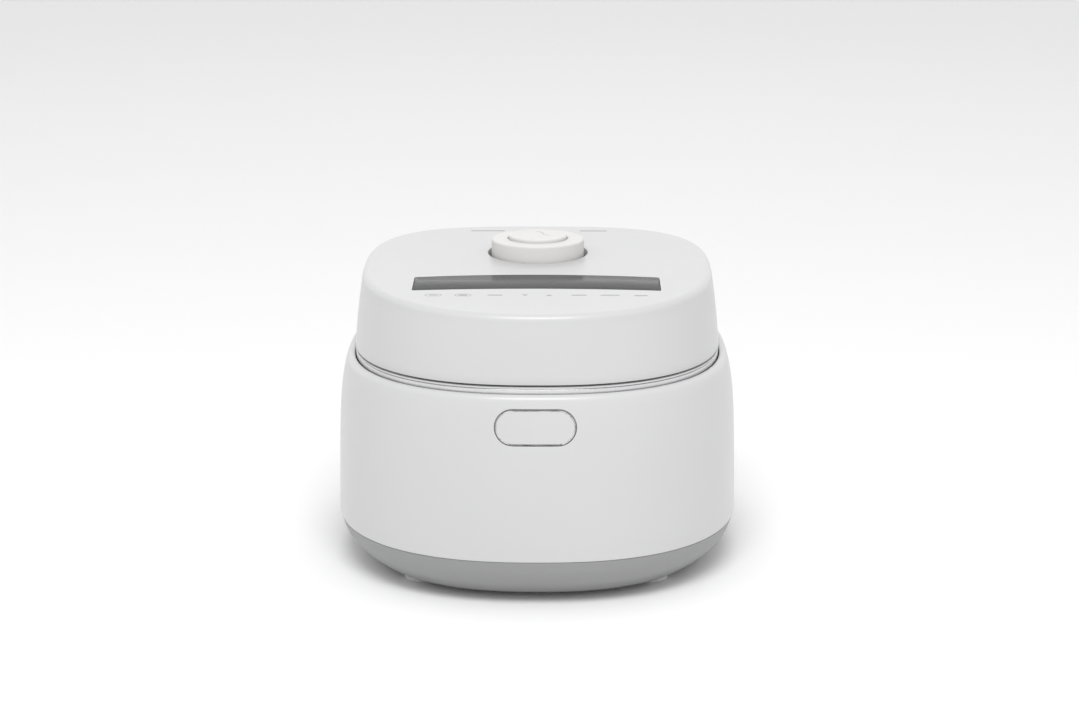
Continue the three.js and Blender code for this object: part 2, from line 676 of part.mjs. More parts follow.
function steamCapDisc() {
  const low = CAP_TOP_Z - 0.7;
  return turned([
    [0, low - 5], [5, low - 5], [5, low], [DISC_RADIUS, low], [DISC_RADIUS, DISC_TOP_Z - 0.5],
    [DISC_RADIUS - 0.5, DISC_TOP_Z], [0, DISC_TOP_Z],
  ], 0, CAP_Y, 36);
}

function steamCapBase() {
  return turned([
    [STEAM_BORE, 163.9], [24.9, 163.9], [24.9, 168], [23.3, 168], [23.3, 165.6],
    [STEAM_BORE + 1.6, 165.6], [STEAM_BORE + 1.6, 168], [STEAM_BORE, 168],
  ], 0, CAP_Y);
}

// ---- Assembly -----------------------------------------------------------------------------------

function addPiece(parent, name, solid, finish) {
  const [color, roughness, metalness] = FINISH[finish];
  const material = new THREE.MeshStandardMaterial({ color, roughness, metalness });
  const mesh = new THREE.Mesh(toGeometry(solid), material);
  mesh.name = name;
  parent.add(mesh);
}

function bodyPieces() {
  const body = new THREE.Group();
  addPiece(body, 'body_shell', bodyShell(), 'white');
  addPiece(body, 'base_cover', baseCover(), 'grey');
  addPiece(body, 'rim_ring', rimRing(), 'satinMetal');
  addPiece(body, 'upper_frame', upperFrame(), 'white');
  addPiece(body, 'pot_housing', potHousing(), 'darkPlastic');
  addPiece(body, 'inner_pot', innerPot(), 'potCoating');
  const corners = ['front_left', 'front_right', 'rear_left', 'rear_right'];
  corners.forEach((corner, i) => {
    addPiece(body, `foot_${corner}`, foot(...footSpots()[i]), 'rubber');
    addPiece(body, `base_screw_${corner}`, baseScrew(...baseScrewSpots()[i]), 'steel');
    addPiece(body, `ferrite_bar_${i + 1}`, ferriteBar(i), 'ferrite');
  });
  return body;
}

function heatingPieces() {
  const heating = new THREE.Group();
  addPiece(heating, 'induction_coil', inductionCoil(), 'copper');
  addPiece(heating, 'coil_holder', coilHolder(), 'darkPlastic');
  addPiece(heating, 'temperature_sensor', temperatureSensor(), 'aluminium');
  addPiece(heating, 'sensor_spring', sensorSpring(), 'steel');
  addPiece(heating, 'fan_frame', fanFrame(), 'darkPlastic');
  addPiece(heating, 'fan_rotor', fanRotor(), 'darkPlastic');
  const { x0, x1, y0, y1, z0, z1 } = BOARD;
  addPiece(heating, 'power_board', box(x0, x1, y0, y1, z0, z1), 'board');
  addPiece(heating, 'heat_sink', heatSink(), 'aluminium');
  addPiece(heating, 'filter_capacitor', box(-32, -8, 22, 36, 11.3, 18.6), 'darkPlastic');
  addPiece(heating, 'mains_inlet', mainsInlet(), 'darkPlastic');
  addPiece(heating, 'inlet_contact_left', inletContact(-9), 'steel');
  addPiece(heating, 'inlet_contact_right', inletContact(9), 'steel');
  return heating;
}

function latchPieces() {
  const latch = new THREE.Group();
  addPiece(latch, 'open_button', openButton(), 'white');
  addPiece(latch, 'button_spring_left', buttonSpring(-1), 'steel');
  addPiece(latch, 'button_spring_right', buttonSpring(1), 'steel');
  addPiece(latch, 'latch_hook', latchHook(), 'steel');
  addPiece(latch, 'latch_bracket', latchBracket(), 'steel');
  addPiece(latch, 'latch_pin', latchPin(), 'steel');
  addPiece(latch, 'latch_spring', latchSpring(), 'steel');
  return latch;
}

function hingePieces() {
  const hinge = new THREE.Group();
  addPiece(hinge, 'hinge_housing', hingeHousing(), 'white');
  addPiece(hinge, 'hinge_screw_left', hingeScrew(-HINGE_SCREW_X), 'steel');
  addPiece(hinge, 'hinge_screw_right', hingeScrew(HINGE_SCREW_X), 'steel');
  addPiece(hinge, 'hinge_pin', hingePin(), 'steel');
  addPiece(hinge, 'hinge_spring_left', hingeSpring(-1), 'steel');
  addPiece(hinge, 'hinge_spring_right', hingeSpring(1), 'steel');
  return hinge;
}

function lidPieces() {
  const lid = new THREE.Group();
  addPiece(lid, 'lid_cover', lidCover(), 'white');
  addPiece(lid, 'lid_frame', lidFrame(), 'white');
  addPiece(lid, 'lid_catch', lidCatch(), 'steel');
  addPiece(lid, 'inner_lid', innerLid(), 'aluminium');
  addPiece(lid, 'inner_lid_gasket', innerLidGasket(), 'darkRubber');
  addPiece(lid, 'display_window', underLidTop(windowOutline(0), WINDOW_THICK, 0.05), 'window');
  addPiece(lid, 'display_panel', underLidTop(rectangle(-58, 58, -50, -31), 5, 3), 'darkPlastic');
  addPiece(lid, 'display_board', underLidTop(rectangle(-74, 74, -74, -8), 7.2, 5.6), 'board');
  addPiece(lid, 'steam_tube', steamTube(), 'warmWhite');
  addPiece(lid, 'steam_packing', tube(STEAM_BORE, 10, 131.5, 133.7, 0, CAP_Y, 24), 'darkRubber');
  return lid;
}

function steamCapPieces() {
  const cap = new THREE.Group();
  addPiece(cap, 'steam_cap', steamCap(), 'warmWhite');
  addPiece(cap, 'steam_cap_disc', steamCapDisc(), 'warmWhite');
  addPiece(cap, 'steam_cap_base', steamCapBase(), 'warmWhite');
  addPiece(cap, 'steam_gasket', tube(9, 12, 161.4, 163.6, 0, CAP_Y, 24), 'darkRubber');
  return cap;
}

const cooker = new THREE.Group();
cooker.add(bodyPieces(), heatingPieces(), latchPieces(), hingePieces(), lidPieces(), steamCapPieces());

export default cooker;
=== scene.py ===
"""Looks of the compact rice cooker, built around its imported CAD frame.

Sizes are in millimetres until a mesh is written, which turns them into metres. The plan outline,
the pieces' heights and every axis come from the frame's boxes; the short tables below repeat the
design's own profiles, as inset from the widest outline against height.
"""

import json
from math import atan2, copysign, cos, dist, pi, radians, sin, sqrt

import bmesh
import bpy
import numpy as np
from mathutils import Matrix, Vector


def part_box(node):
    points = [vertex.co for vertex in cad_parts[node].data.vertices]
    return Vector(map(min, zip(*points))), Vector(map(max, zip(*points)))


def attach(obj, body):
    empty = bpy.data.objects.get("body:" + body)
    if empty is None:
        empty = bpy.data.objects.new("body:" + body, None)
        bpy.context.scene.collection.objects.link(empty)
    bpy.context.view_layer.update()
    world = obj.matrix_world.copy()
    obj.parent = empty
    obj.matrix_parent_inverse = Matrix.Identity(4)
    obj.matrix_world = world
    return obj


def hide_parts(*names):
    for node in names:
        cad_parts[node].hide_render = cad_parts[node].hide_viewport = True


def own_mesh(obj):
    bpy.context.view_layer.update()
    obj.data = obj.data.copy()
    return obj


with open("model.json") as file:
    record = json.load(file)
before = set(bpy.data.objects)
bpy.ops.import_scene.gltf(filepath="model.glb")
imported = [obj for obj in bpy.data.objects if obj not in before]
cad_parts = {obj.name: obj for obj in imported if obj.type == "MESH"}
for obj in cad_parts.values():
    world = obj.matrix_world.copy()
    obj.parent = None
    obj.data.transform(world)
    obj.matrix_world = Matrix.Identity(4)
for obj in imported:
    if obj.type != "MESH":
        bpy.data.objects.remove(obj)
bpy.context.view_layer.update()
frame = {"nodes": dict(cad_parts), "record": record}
MM = 0.001

RECORD = frame["record"]
BODY_OF = {node: body for body, nodes in RECORD["behaviour"]["bodies"].items() for node in nodes}
SLOT_OF = {part["node"]: part["material_slot"] for part in RECORD["subparts"]}


def node_box(name):
    """A CAD node's lowest and highest corners in millimetres."""
    low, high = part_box(name)
    return Vector(low) / MM, Vector(high) / MM


def node_middle(name):
    """The middle of a CAD node's box in millimetres."""
    low, high = node_box(name)
    return [(a + b) / 2 for a, b in zip(low, high)]


def node_radius(name):
    """Half of a CAD node's width in millimetres."""
    low, high = node_box(name)
    return (high.x - low.x) / 2


# ---- Measures taken from the frame ----

shell_low, shell_high = node_box("body_shell")
HALF_WIDTH = shell_high.x
FRONT_DEPTH = -shell_low.y
REAR_DEPTH = shell_high.y
CREST_Z = shell_high.z
WALL = 2.5
QUARTER_STEPS = 72
# Powers of the rounded plan outline: the front half, the lid's top front and the rear half.
FRONT_POWER, LID_POWER, REAR_POWER = 2.366, 2.188, 3.2

base_low = node_box("base_cover")[0]
ring_low, ring_high = node_box("rim_ring")
frame_low, frame_high = node_box("upper_frame")
POT_Y = node_middle("inner_pot")[1]
POT_FLANGE_RADIUS = node_radius("inner_pot")
POT_RADIUS = POT_FLANGE_RADIUS - 8
CAP_Y = node_middle("steam_cap")[1]
CAP_RADIUS = node_radius("steam_cap")
DISC_RADIUS = node_radius("steam_cap_disc")
TUBE_RADIUS = node_radius("steam_tube")
PIN_Y, PIN_Z = node_middle("hinge_pin")[1:]
button_low, button_high = node_box("open_button")
BUTTON_Z = node_middle("open_button")[2]
BUTTON_LENGTH = button_high.x - button_low.x
BUTTON_HEIGHT = button_high.z - button_low.z
hinge_high = node_box("hinge_housing")[1]
inlet_low, inlet_high = node_box("mains_inlet")
CORNERS = ("front_left", "front_right", "rear_left", "rear_right")

RING_INSET = HALF_WIDTH - ring_high.x
LID_EDGE_INSET = 10.6
LID_EDGE_Z = 123.55
LID_TOP_INSET = 14.7
LID_FILLET = 4.0
LID_TOP_Z = 165.74
LID_SLOPE = 0.04
WELL_RADIUS = CAP_RADIUS + 2.04
WELL_FLOOR_Z = node_box("steam_tube")[1].z - 2
BARREL_RADIUS = 7.4
BARREL_HALF = 36.0
EAR_INNER = 36.6
NOTCH_RADIUS = 8.4
PIN_BORE_RADIUS = 2.1
BUTTON_GAP = 0.9
LIP_RADIUS = 0.35
WINDOW_CORNER = 1.7
FLANGE_STEP_Z = 119.6
STEAM_BORE = 6.5
KEY_ROW_Y = -68.3
REAR_BAR_Y = 87.5
MARK_SINK = 0.05

# Inset from the widest outline against height, on the way up.
BASE_CURVE = [(20.2, 3.4), (18.2, 4.0), (12.7, 8.0), (7.1, 13.0), (3.0, 19.0), (0.3, 26.4)]
SHELL_CURVE = [
    (0.25, 26.95), (0.02, 27.2), (0.02, 34.0), (0.3, 50.0), (0.7, 70.0), (1.4, 88.0), (2.4, 100.0),
    (3.6, 108.0), (4.9, 114.0), (6.1, 117.2), (7.6, 118.6), (9.2, 118.9), (10.05, 118.5), (10.3, 117.6),
]


# ---- Outlines and profiles ----

def plan_point(angle, inset, power=FRONT_POWER):
    """Point (x, y) of the rounded plan outline drawn in by inset."""
    c, s = cos(angle), sin(angle)
    front = s < 0
    exponent = 2 / (power if front else REAR_POWER)
    depth = (FRONT_DEPTH if front else REAR_DEPTH) - inset
    x = copysign(abs(c) ** exponent, c) * (HALF_WIDTH - inset)
    y = copysign(abs(s) ** exponent, s) * depth
    return x, y


def even_angles(steps):
    """Angles that put steps points evenly along each quarter of the outline."""
    angles = []
    for quarter in range(4):
        fine = np.linspace(quarter, quarter + 1, 801) * pi / 2
        points = np.array([plan_point(a, 0) for a in fine])
        runs = np.hypot(*np.diff(points, axis=0).T)
        length = np.concatenate([[0], np.cumsum(runs)])
        wanted = np.linspace(0, length[-1], steps, endpoint=False)
        angles.extend(np.interp(wanted, length, fine))
    return angles


ANGLES = even_angles(QUARTER_STEPS)


def blend(first, last, start, end, t):
    """Point at t on the way from first, at start, to last, at end."""
    return first * (end - t) / (end - start) + last * (t - start) / (end - start)


def curve_through(points, steps=6):
    """Centripetal Catmull-Rom curve through the points, as a list of points."""
    pts = [np.array(p, float) for p in points]
    pts = [2 * pts[0] - pts[1], *pts, 2 * pts[-1] - pts[-2]]
    out = []
    for a, b, c, d in zip(pts, pts[1:], pts[2:], pts[3:]):
        t1 = dist(a, b) ** 0.5
        t2 = t1 + dist(b, c) ** 0.5
        t3 = t2 + dist(c, d) ** 0.5
        for t in np.linspace(t1, t2, steps, endpoint=False):
            ab, bc, cd = blend(a, b, 0, t1, t), blend(b, c, t1, t2, t), blend(c, d, t2, t3, t)
            abc, bcd = blend(ab, bc, 0, t2, t), blend(bc, cd, t1, t3, t)
            out.append(tuple(blend(abc, bcd, t1, t2, t)))
    return [*out, tuple(pts[-2])]


def soften(corners, steps=4, closed=False):
    """Polyline with each (u, v, radius) corner rounded by a small curve; radius 0 stays sharp."""
    out = []
    count = len(corners)
    for i, (u, v, radius) in enumerate(corners):
        corner = np.array([u, v], float)
        if radius <= 0 or (not closed and i in (0, count - 1)):
            out.append((u, v))
            continue
        before = np.array(corners[i - 1][:2], float) - corner
        after = np.array(corners[(i + 1) % count][:2], float) - corner
        start = corner + before / np.linalg.norm(before) * radius
        end = corner + after / np.linalg.norm(after) * radius
        for t in np.linspace(0, 1, steps + 1):
            out.append(tuple((1 - t) ** 2 * start + 2 * t * (1 - t) * corner + t * t * end))
    return out


# ---- Mesh building ----

def add_to_scene(name, data):
    """New object for a mesh, light or camera."""
    obj = bpy.data.objects.new(name, data)
    bpy.context.scene.collection.objects.link(obj)
    return obj


def raw_mesh(name, vertices, faces):
    """Mesh from millimetre vertices, as given."""
    mesh = bpy.data.meshes.new(name)
    mesh.from_pydata([Vector(v) * MM for v in vertices], [], faces)
    return mesh


def make_object(name, vertices, faces):
    """Mesh object from millimetre vertices, faces turned outwards, smooth but for sharp edges."""
    obj = add_to_scene(name, raw_mesh(name, vertices, faces))
    tidy_mesh(obj)
    return obj


def tidy_mesh(obj, smooth_angle=35):
    """Merges doubled points, turns the faces outwards and marks edges over the angle as sharp."""
    work = bmesh.new()
    work.from_mesh(obj.data)
    bmesh.ops.remove_doubles(work, verts=work.verts, dist=2e-6)
    bmesh.ops.dissolve_degenerate(work, edges=work.edges, dist=1e-6)
    bmesh.ops.recalc_face_normals(work, faces=work.faces)
    if work.calc_volume(signed=True) < 0:
        bmesh.ops.reverse_faces(work, faces=work.faces)
    for face in work.faces:
        face.smooth = True
    limit = radians(smooth_angle)
    for edge in work.edges:
        edge.smooth = edge.calc_face_angle(pi) < limit
    work.to_mesh(obj.data)
    work.free()


def bridge(rings, closed=False):
    """Vertices and quads joining rings of equal length; closed joins the last ring to the first."""
    size = len(rings[0])
    vertices = [point for ring in rings for point in ring]
    faces = []
    for k in range(len(rings) if closed else len(rings) - 1):
        low, high = k * size, (k + 1) % len(rings) * size
        for i in range(size):
            j = (i + 1) % size
            faces.append((low + i, low + j, high + j, high + i))
    return vertices, faces


def capped(rings):
    """As bridge, with the first and last rings filled in."""
    vertices, faces = bridge(rings)
    size = len(rings[0])
    faces.append(tuple(reversed(range(size))))
    faces.append(tuple(range(len(vertices) - size, len(vertices))))
    return vertices, faces


def plan_ring(inset, z, power=FRONT_POWER):
    """Ring of the plan outline; z is a number, or a function of y."""
    ring = []
    for angle in ANGLES:
        x, y = plan_point(angle, inset, power)
        ring.append((x, y, z(y) if callable(z) else z))
    return ring


def round_ring(radius, z, centre_y, guide=None):
    """Circle with one point facing each point of the guide ring."""
    guide = guide or plan_ring(0, 0)
    ring = []
    for x, y, _ in guide:
        turn = atan2(y - centre_y, x)
        px, py = radius * cos(turn), centre_y + radius * sin(turn)
        ring.append((px, py, z(py) if callable(z) else z))
    return ring


def between(ring_a, ring_b, count):
    """Rings evenly spaced between two rings, without the two themselves."""
    a, b = np.array(ring_a), np.array(ring_b)
    return [[tuple(p) for p in a + (b - a) * k / (count + 1)] for k in range(1, count + 1)]


def turned(name, profile, centre=(0, 0), steps=128):
    """Solid turned from (radius, z) points, capped where they meet the axis, or else closed."""
    on_axis = profile[0][0] < 1e-6
    points = profile[1:-1] if on_axis else profile
    rings = [[(x, y, z) for x, y in circle(radius, *centre, steps)] for radius, z in points]
    vertices, faces = capped(rings) if on_axis else bridge(rings, closed=True)
    return make_object(name, vertices, faces)


def block(name, low, high, bevel=0.0):
    """Box between two corners, its edges rounded by bevel."""
    work = bmesh.new()
    bmesh.ops.create_cube(work, size=1)
    size = Vector(high) - Vector(low)
    middle = (Vector(high) + Vector(low)) / 2
    bmesh.ops.scale(work, vec=size * MM, verts=work.verts)
    bmesh.ops.translate(work, vec=middle * MM, verts=work.verts)
    if bevel:
        bmesh.ops.bevel(work, geom=work.edges[:], offset=bevel * MM, segments=3, profile=0.5, affect="EDGES")
    mesh = bpy.data.meshes.new(name)
    work.to_mesh(mesh)
    work.free()
    obj = add_to_scene(name, mesh)
    tidy_mesh(obj)
    return obj


def prism(name, outline, axis, low, high):
    """Closed outline of (u, v) points pushed along an axis: x takes (y, z), y (x, z), z (x, y)."""
    place = {
        "x": lambda u, v, w: (w, u, v),
        "y": lambda u, v, w: (u, w, v),
        "z": lambda u, v, w: (u, v, w),
    }[axis]
    rings = [[place(u, v, w) for u, v in outline] for w in (low, high)]
    return make_object(name, *capped(rings))


def circle(radius, u, v, steps=64):
    """Points of a circle about (u, v)."""
    turns = (2 * pi * i / steps for i in range(steps))
    return [(u + radius * cos(t), v + radius * sin(t)) for t in turns]


def arc(radius, start, end, steps):
    """Points of an arc about (0, 0) between two angles."""
    return [(radius * cos(t), radius * sin(t)) for t in np.linspace(start, end, steps)]


def combine(obj, tool, operation):
    """Boolean of the object with a tool, which is then removed."""
    modifier = obj.modifiers.new("boolean", "BOOLEAN")
    modifier.operation = operation
    modifier.object = tool
    modifier.solver = "EXACT"
    apply_modifiers(obj)
    bpy.data.objects.remove(tool, do_unlink=True)


def apply_modifiers(obj):
    """Turns the object's modifiers into its mesh."""
    depsgraph = bpy.context.evaluated_depsgraph_get()
    mesh = bpy.data.meshes.new_from_object(obj.evaluated_get(depsgraph))
    obj.modifiers.clear()
    obj.data = mesh
    mesh.name = obj.name


def cut(obj, *tools):
    """Takes each tool's shape away from the object."""
    for tool in tools:
        combine(obj, tool, "DIFFERENCE")
    tidy_mesh(obj)


def add(obj, *tools):
    """Joins each tool's shape to the object."""
    for tool in tools:
        combine(obj, tool, "UNION")
    tidy_mesh(obj)


def soft_edges(obj, width, angle=40, segments=2):
    """Rounds the object's sharp edges by a small bevel and keeps its flats flat."""
    modifier = obj.modifiers.new("bevel", "BEVEL")
    modifier.width = width * MM
    modifier.segments = segments
    modifier.limit_method = "ANGLE"
    modifier.angle_limit = radians(angle)
    apply_modifiers(obj)
    tidy_mesh(obj, 50)


# ---- Materials ----

class Surface:
    """A Principled material with the node helpers that the finishes below share."""

    def __init__(self, name, color, roughness, metallic=0.0, **sockets):
        self.material = bpy.data.materials.new(name)
        self.material.use_nodes = True
        self.tree = self.material.node_tree
        self.shader = self.tree.nodes["Principled BSDF"]
        self.set("Base Color", (*color, 1))
        self.set("Roughness", roughness)
        self.set("Metallic", metallic)
        for socket, value in sockets.items():
            self.set(socket.replace("_", " "), value)
        self.color = color
        self.roughness = roughness
        self.bump_end = None

    def set(self, socket, value):
        """Gives one of the shader's own sockets a plain value."""
        self.shader.inputs[socket].default_value = value

    def node(self, kind, **values):
        """New node; each value goes to the input of that name, or else to the setting."""
        node = self.tree.nodes.new(kind)
        for key, value in values.items():
            if key in node.inputs:
                node.inputs[key].default_value = value
            else:
                setattr(node, key, value)
        return node

    def link(self, out_node, out_name, in_node, in_name):
        """Joins an output to an input, both by name."""
        self.tree.links.new(out_node.outputs[out_name], in_node.inputs[in_name])

    def place(self, scale=(1, 1, 1)):
        """Object coordinates, stretched by scale."""
        where = self.node("ShaderNodeTexCoord")
        mapping = self.node("ShaderNodeMapping", Scale=scale)
        self.link(where, "Object", mapping, "Vector")
        return mapping

    def noise(self, scale, detail=2.0, stretch=(1, 1, 1)):
        """Noise over the object's own coordinates."""
        noise = self.node("ShaderNodeTexNoise", Scale=scale, Detail=detail)
        self.link(self.place(stretch), "Vector", noise, "Vector")
        return noise

    def color_between(self, source, output, first, second, interpolation="LINEAR"):
        """Base colour that runs from one (position, colour) stop to another along an output."""
        ramp = self.node("ShaderNodeValToRGB")
        ramp.color_ramp.interpolation = interpolation
        for element, (position, color) in zip(ramp.color_ramp.elements, (first, second)):
            element.position = position
            element.color = (*color, 1)
        self.link(source, output, ramp, "Fac")
        self.link(ramp, "Color", self.shader, "Base Color")

    def vary_color(self, noise, amount):
        """Lets the noise move the colour up and down by amount."""
        darker = [c * (1 - amount) for c in self.color]
        lighter = [min(1, c * (1 + amount)) for c in self.color]
        self.color_between(noise, "Fac", (0.35, darker), (0.65, lighter))

    def cells(self, scale, **values):
        """Voronoi cells over the object's own coordinates."""
        cells = self.node("ShaderNodeTexVoronoi", Scale=scale, **values)
        self.link(self.place(), "Vector", cells, "Vector")
        return cells

    def vary_roughness(self, noise, amount):
        """Lets the noise move the roughness up and down by amount."""
        ends = {"To Min": max(0, self.roughness - amount), "To Max": min(1, self.roughness + amount)}
        span = self.node("ShaderNodeMapRange", **ends)
        self.link(noise, "Fac", span, "Value")
        self.link(span, "Result", self.shader, "Roughness")

    def bump(self, noise, strength, distance_mm):
        """Fine relief from the noise, on top of any earlier one."""
        bump = self.node("ShaderNodeBump", Strength=strength, Distance=distance_mm * MM)
        self.link(noise, "Fac", bump, "Height")
        if self.bump_end:
            self.link(self.bump_end, "Normal", bump, "Normal")
        self.link(bump, "Normal", self.shader, "Normal")
        self.bump_end = bump


def moulded(name, color, roughness, grain=900, depth=0.02, **sockets):
    """Injection-moulded plastic: faint grain, slight sink and tone changes across the surface."""
    surface = Surface(name, color, roughness, **sockets)
    surface.vary_color(surface.noise(9, 1), 0.012)
    surface.vary_roughness(surface.noise(60, 3), 0.035)
    surface.bump(surface.noise(grain, 2), 0.12, depth)
    surface.bump(surface.noise(28, 1), 0.05, 0.12)
    return surface.material


def satin_metal(name, color, roughness, stretch):
    """Brushed metal with fine lines drawn along the stretched axis."""
    surface = Surface(name, color, roughness, 1.0)
    lines = surface.noise(1400, 3, stretch)
    surface.vary_roughness(lines, 0.06)
    surface.bump(lines, 0.1, 0.01)
    surface.vary_color(surface.noise(40, 2), 0.03)
    return surface.material


def rubbery(name, color, roughness):
    """Dull surface with a fine soft grain."""
    surface = Surface(name, color, roughness)
    surface.vary_color(surface.noise(120, 3), 0.06)
    surface.bump(surface.noise(1500, 3), 0.3, 0.03)
    return surface.material


def coil_copper():
    """Enamelled strands wound round the coil's axis."""
    surface = Surface("coil_copper", (0.42, 0.16, 0.06), 0.35, 0.9)
    waves = surface.node("ShaderNodeTexWave", wave_type="RINGS", rings_direction="Z", Scale=330.0)
    centre = surface.place()
    centre.inputs["Location"].default_value = (0, -POT_Y * MM, 0)
    surface.link(centre, "Vector", waves, "Vector")
    surface.bump(waves, 0.6, 0.3)
    surface.vary_color(surface.noise(400, 2, (1, 1, 0.2)), 0.15)
    return surface.material


def circuit_board():
    """Green lacquer with small square solder pads."""
    lacquer, pad = (0.03, 0.15, 0.07), (0.35, 0.33, 0.3)
    surface = Surface("circuit_board", lacquer, 0.45)
    pads = surface.cells(260.0, distance="CHEBYCHEV")
    surface.color_between(pads, "Distance", (0, pad), (0.16, lacquer), "CONSTANT")
    surface.bump(surface.noise(500, 2), 0.1, 0.05)
    return surface.material


def coated_pot():
    """Dark non-stick coating with fine pale flecks."""
    coating, fleck = (0.075, 0.076, 0.08), (0.3, 0.3, 0.31)
    surface = Surface("pot_coating", coating, 0.38, 0.25)
    flecks = surface.cells(900.0)
    surface.color_between(flecks, "Distance", (0.05, fleck), (0.16, coating))
    surface.bump(surface.noise(700, 2), 0.15, 0.03)
    return surface.material


MATERIALS = {
    "white_plastic": moulded("white_plastic", (0.58, 0.58, 0.583), 0.3, Specular_IOR_Level=0.45),
    "warm_white_plastic": moulded(
        "warm_white_plastic", (0.695, 0.687, 0.672), 0.42, Specular_IOR_Level=0.15),
    "grey_plastic": moulded("grey_plastic", (0.305, 0.306, 0.309), 0.5, grain=600, depth=0.05),
    "dark_plastic": moulded("dark_plastic", (0.035, 0.036, 0.04), 0.5),
    "display_window": moulded(
        "smoked_window", (0.046, 0.0465, 0.0485), 0.22, grain=1500, depth=0.003, Specular_IOR_Level=0.11),
    "foot_rubber": rubbery("foot_rubber", (0.56, 0.56, 0.55), 0.7),
    "seal_rubber": rubbery("seal_rubber", (0.12, 0.12, 0.125), 0.7),
    "satin_ring": satin_metal("satin_ring", (0.69, 0.69, 0.698), 0.27, (1, 1, 12)),
    "steel": satin_metal("plain_steel", (0.5, 0.5, 0.51), 0.38, (6, 1, 1)),
    "aluminium": satin_metal("plain_aluminium", (0.72, 0.73, 0.74), 0.36, (1, 1, 8)),
    "pot_coating": coated_pot(),
    "coil_winding": coil_copper(),
    "ferrite": rubbery("ferrite", (0.06, 0.06, 0.065), 0.6),
    "board": circuit_board(),
}
LEGEND = moulded("legend_grey", (0.36, 0.36, 0.37), 0.5)
CAP_MARK = moulded("cap_mark_grey", (0.52, 0.51, 0.49), 0.5)


def finish(obj, material):
    """Puts the material on the whole object."""
    obj.data.materials.clear()
    obj.data.materials.append(material)


def trim(obj, body, slot, material):
    """A printed mark or other thin trim that has no CAD node of its own."""
    finish(obj, material)
    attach(obj, body)


def piece(obj, node):
    """Gives a finished piece the body of the CAD node that it stands for and the finish of that node's slot,
    and hides the node.
    """
    trim(obj, BODY_OF[node], SLOT_OF[node], MATERIALS[SLOT_OF[node]])
    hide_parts(node)


def cad_finishes():
    """Gives every CAD node the finish of its slot."""
    for name, obj in frame["nodes"].items():
        finish(obj, MATERIALS[SLOT_OF[name]])


def refined(node, width, segments):
    """A node's own shape with its flats merged and its sharp edges rounded."""
    source = frame["nodes"][node]
    mesh = source.data.copy()
    mesh.transform(source.matrix_world)
    mesh.name = f"fine_{node}"
    obj = add_to_scene(mesh.name, mesh)
    work = bmesh.new()
    work.from_mesh(mesh)
    bmesh.ops.remove_doubles(work, verts=work.verts, dist=2e-6)
    bmesh.ops.dissolve_limit(work, angle_limit=radians(0.6), verts=work.verts, edges=work.edges)
    work.to_mesh(mesh)
    work.free()
    soft_edges(obj, width, segments=segments)
    piece(obj, node)


# ---- Body shell with its button opening ----

def pill_point(turn, length, height):
    """Where the ray at an angle from the middle of a pill crosses its outline."""
    r = height / 2
    run = length / 2 - r
    c, s = cos(turn), sin(turn)
    if abs(s) > 1e-9 and abs(c / s) * r <= run:
        return c / abs(s) * r, copysign(r, s)
    side = copysign(run, c)
    along = side * c
    reach = along + sqrt(max(0, along * along - run * run + r * r))
    return reach * c, reach * s


def front_y(x, z, depth=0.0):
    """Y of the front wall at (x, z), moved in by depth."""
    insets, heights = zip(*WALL_PROFILE)
    inset = float(np.interp(z, heights, insets)) + depth
    ratio = min(1.0, abs(x) / (HALF_WIDTH - inset))
    return -(FRONT_DEPTH - inset) * (1 - ratio**FRONT_POWER) ** (1 / FRONT_POWER)


OUTER_PROFILE = [(max(0.02, inset), z) for inset, z in curve_through(SHELL_CURVE, 8)]
WALL_PROFILE = [p for p in OUTER_PROFILE if p[1] <= CREST_Z - 1.5 and p[0] < 8]
PATCH_HALF = 30.0
PATCH_LOW = BUTTON_Z - 14.0
PATCH_HIGH = BUTTON_Z + 13.0


def rim_walk(columns, rows):
    """Indices (column, row) once round the edge of a grid patch, counter-clockwise from outside."""
    first, last = columns[0], columns[-1]
    low, high = rows[0], rows[-1]
    walk = [(c, low) for c in columns[:-1]]
    walk += [(last, r) for r in rows[:-1]]
    walk += [(c, high) for c in reversed(columns[1:])]
    walk += [(first, r) for r in reversed(rows[1:])]
    return walk


def opening_ring(edge, share, grow, depth):
    """Ring on the wall at a depth, a share of the way from a patch edge to the grown opening."""
    length, height = BUTTON_LENGTH + 2 * (BUTTON_GAP + grow), BUTTON_HEIGHT + 2 * (BUTTON_GAP + grow)
    ring = []
    for x, _, z in edge:
        px, pz = pill_point(atan2(z - BUTTON_Z, x), length, height)
        qx, qz = x + (px - x) * share, z + (pz + BUTTON_Z - z) * share
        ring.append((qx, front_y(qx, qz, depth), qz))
    return ring


def opening_rings(edge, depth):
    """Rings that close in from a patch edge to the button opening, on the wall at a depth."""
    return [opening_ring(edge, share, LIP_RADIUS, depth) for share in (0.25, 0.5, 0.75, 0.9, 1)]


def opening_throat(edge):
    """Rounded lip and straight wall of the button opening, from the outer to the inner face."""
    steps = [(LIP_RADIUS * (1 - sin(a)), LIP_RADIUS * (1 - cos(a)))
             for a in np.linspace(0.2, pi / 2, 5)]
    return [opening_ring(edge, 1, grow, depth) for grow, depth in [*steps, (0, WALL - 0.2)]]


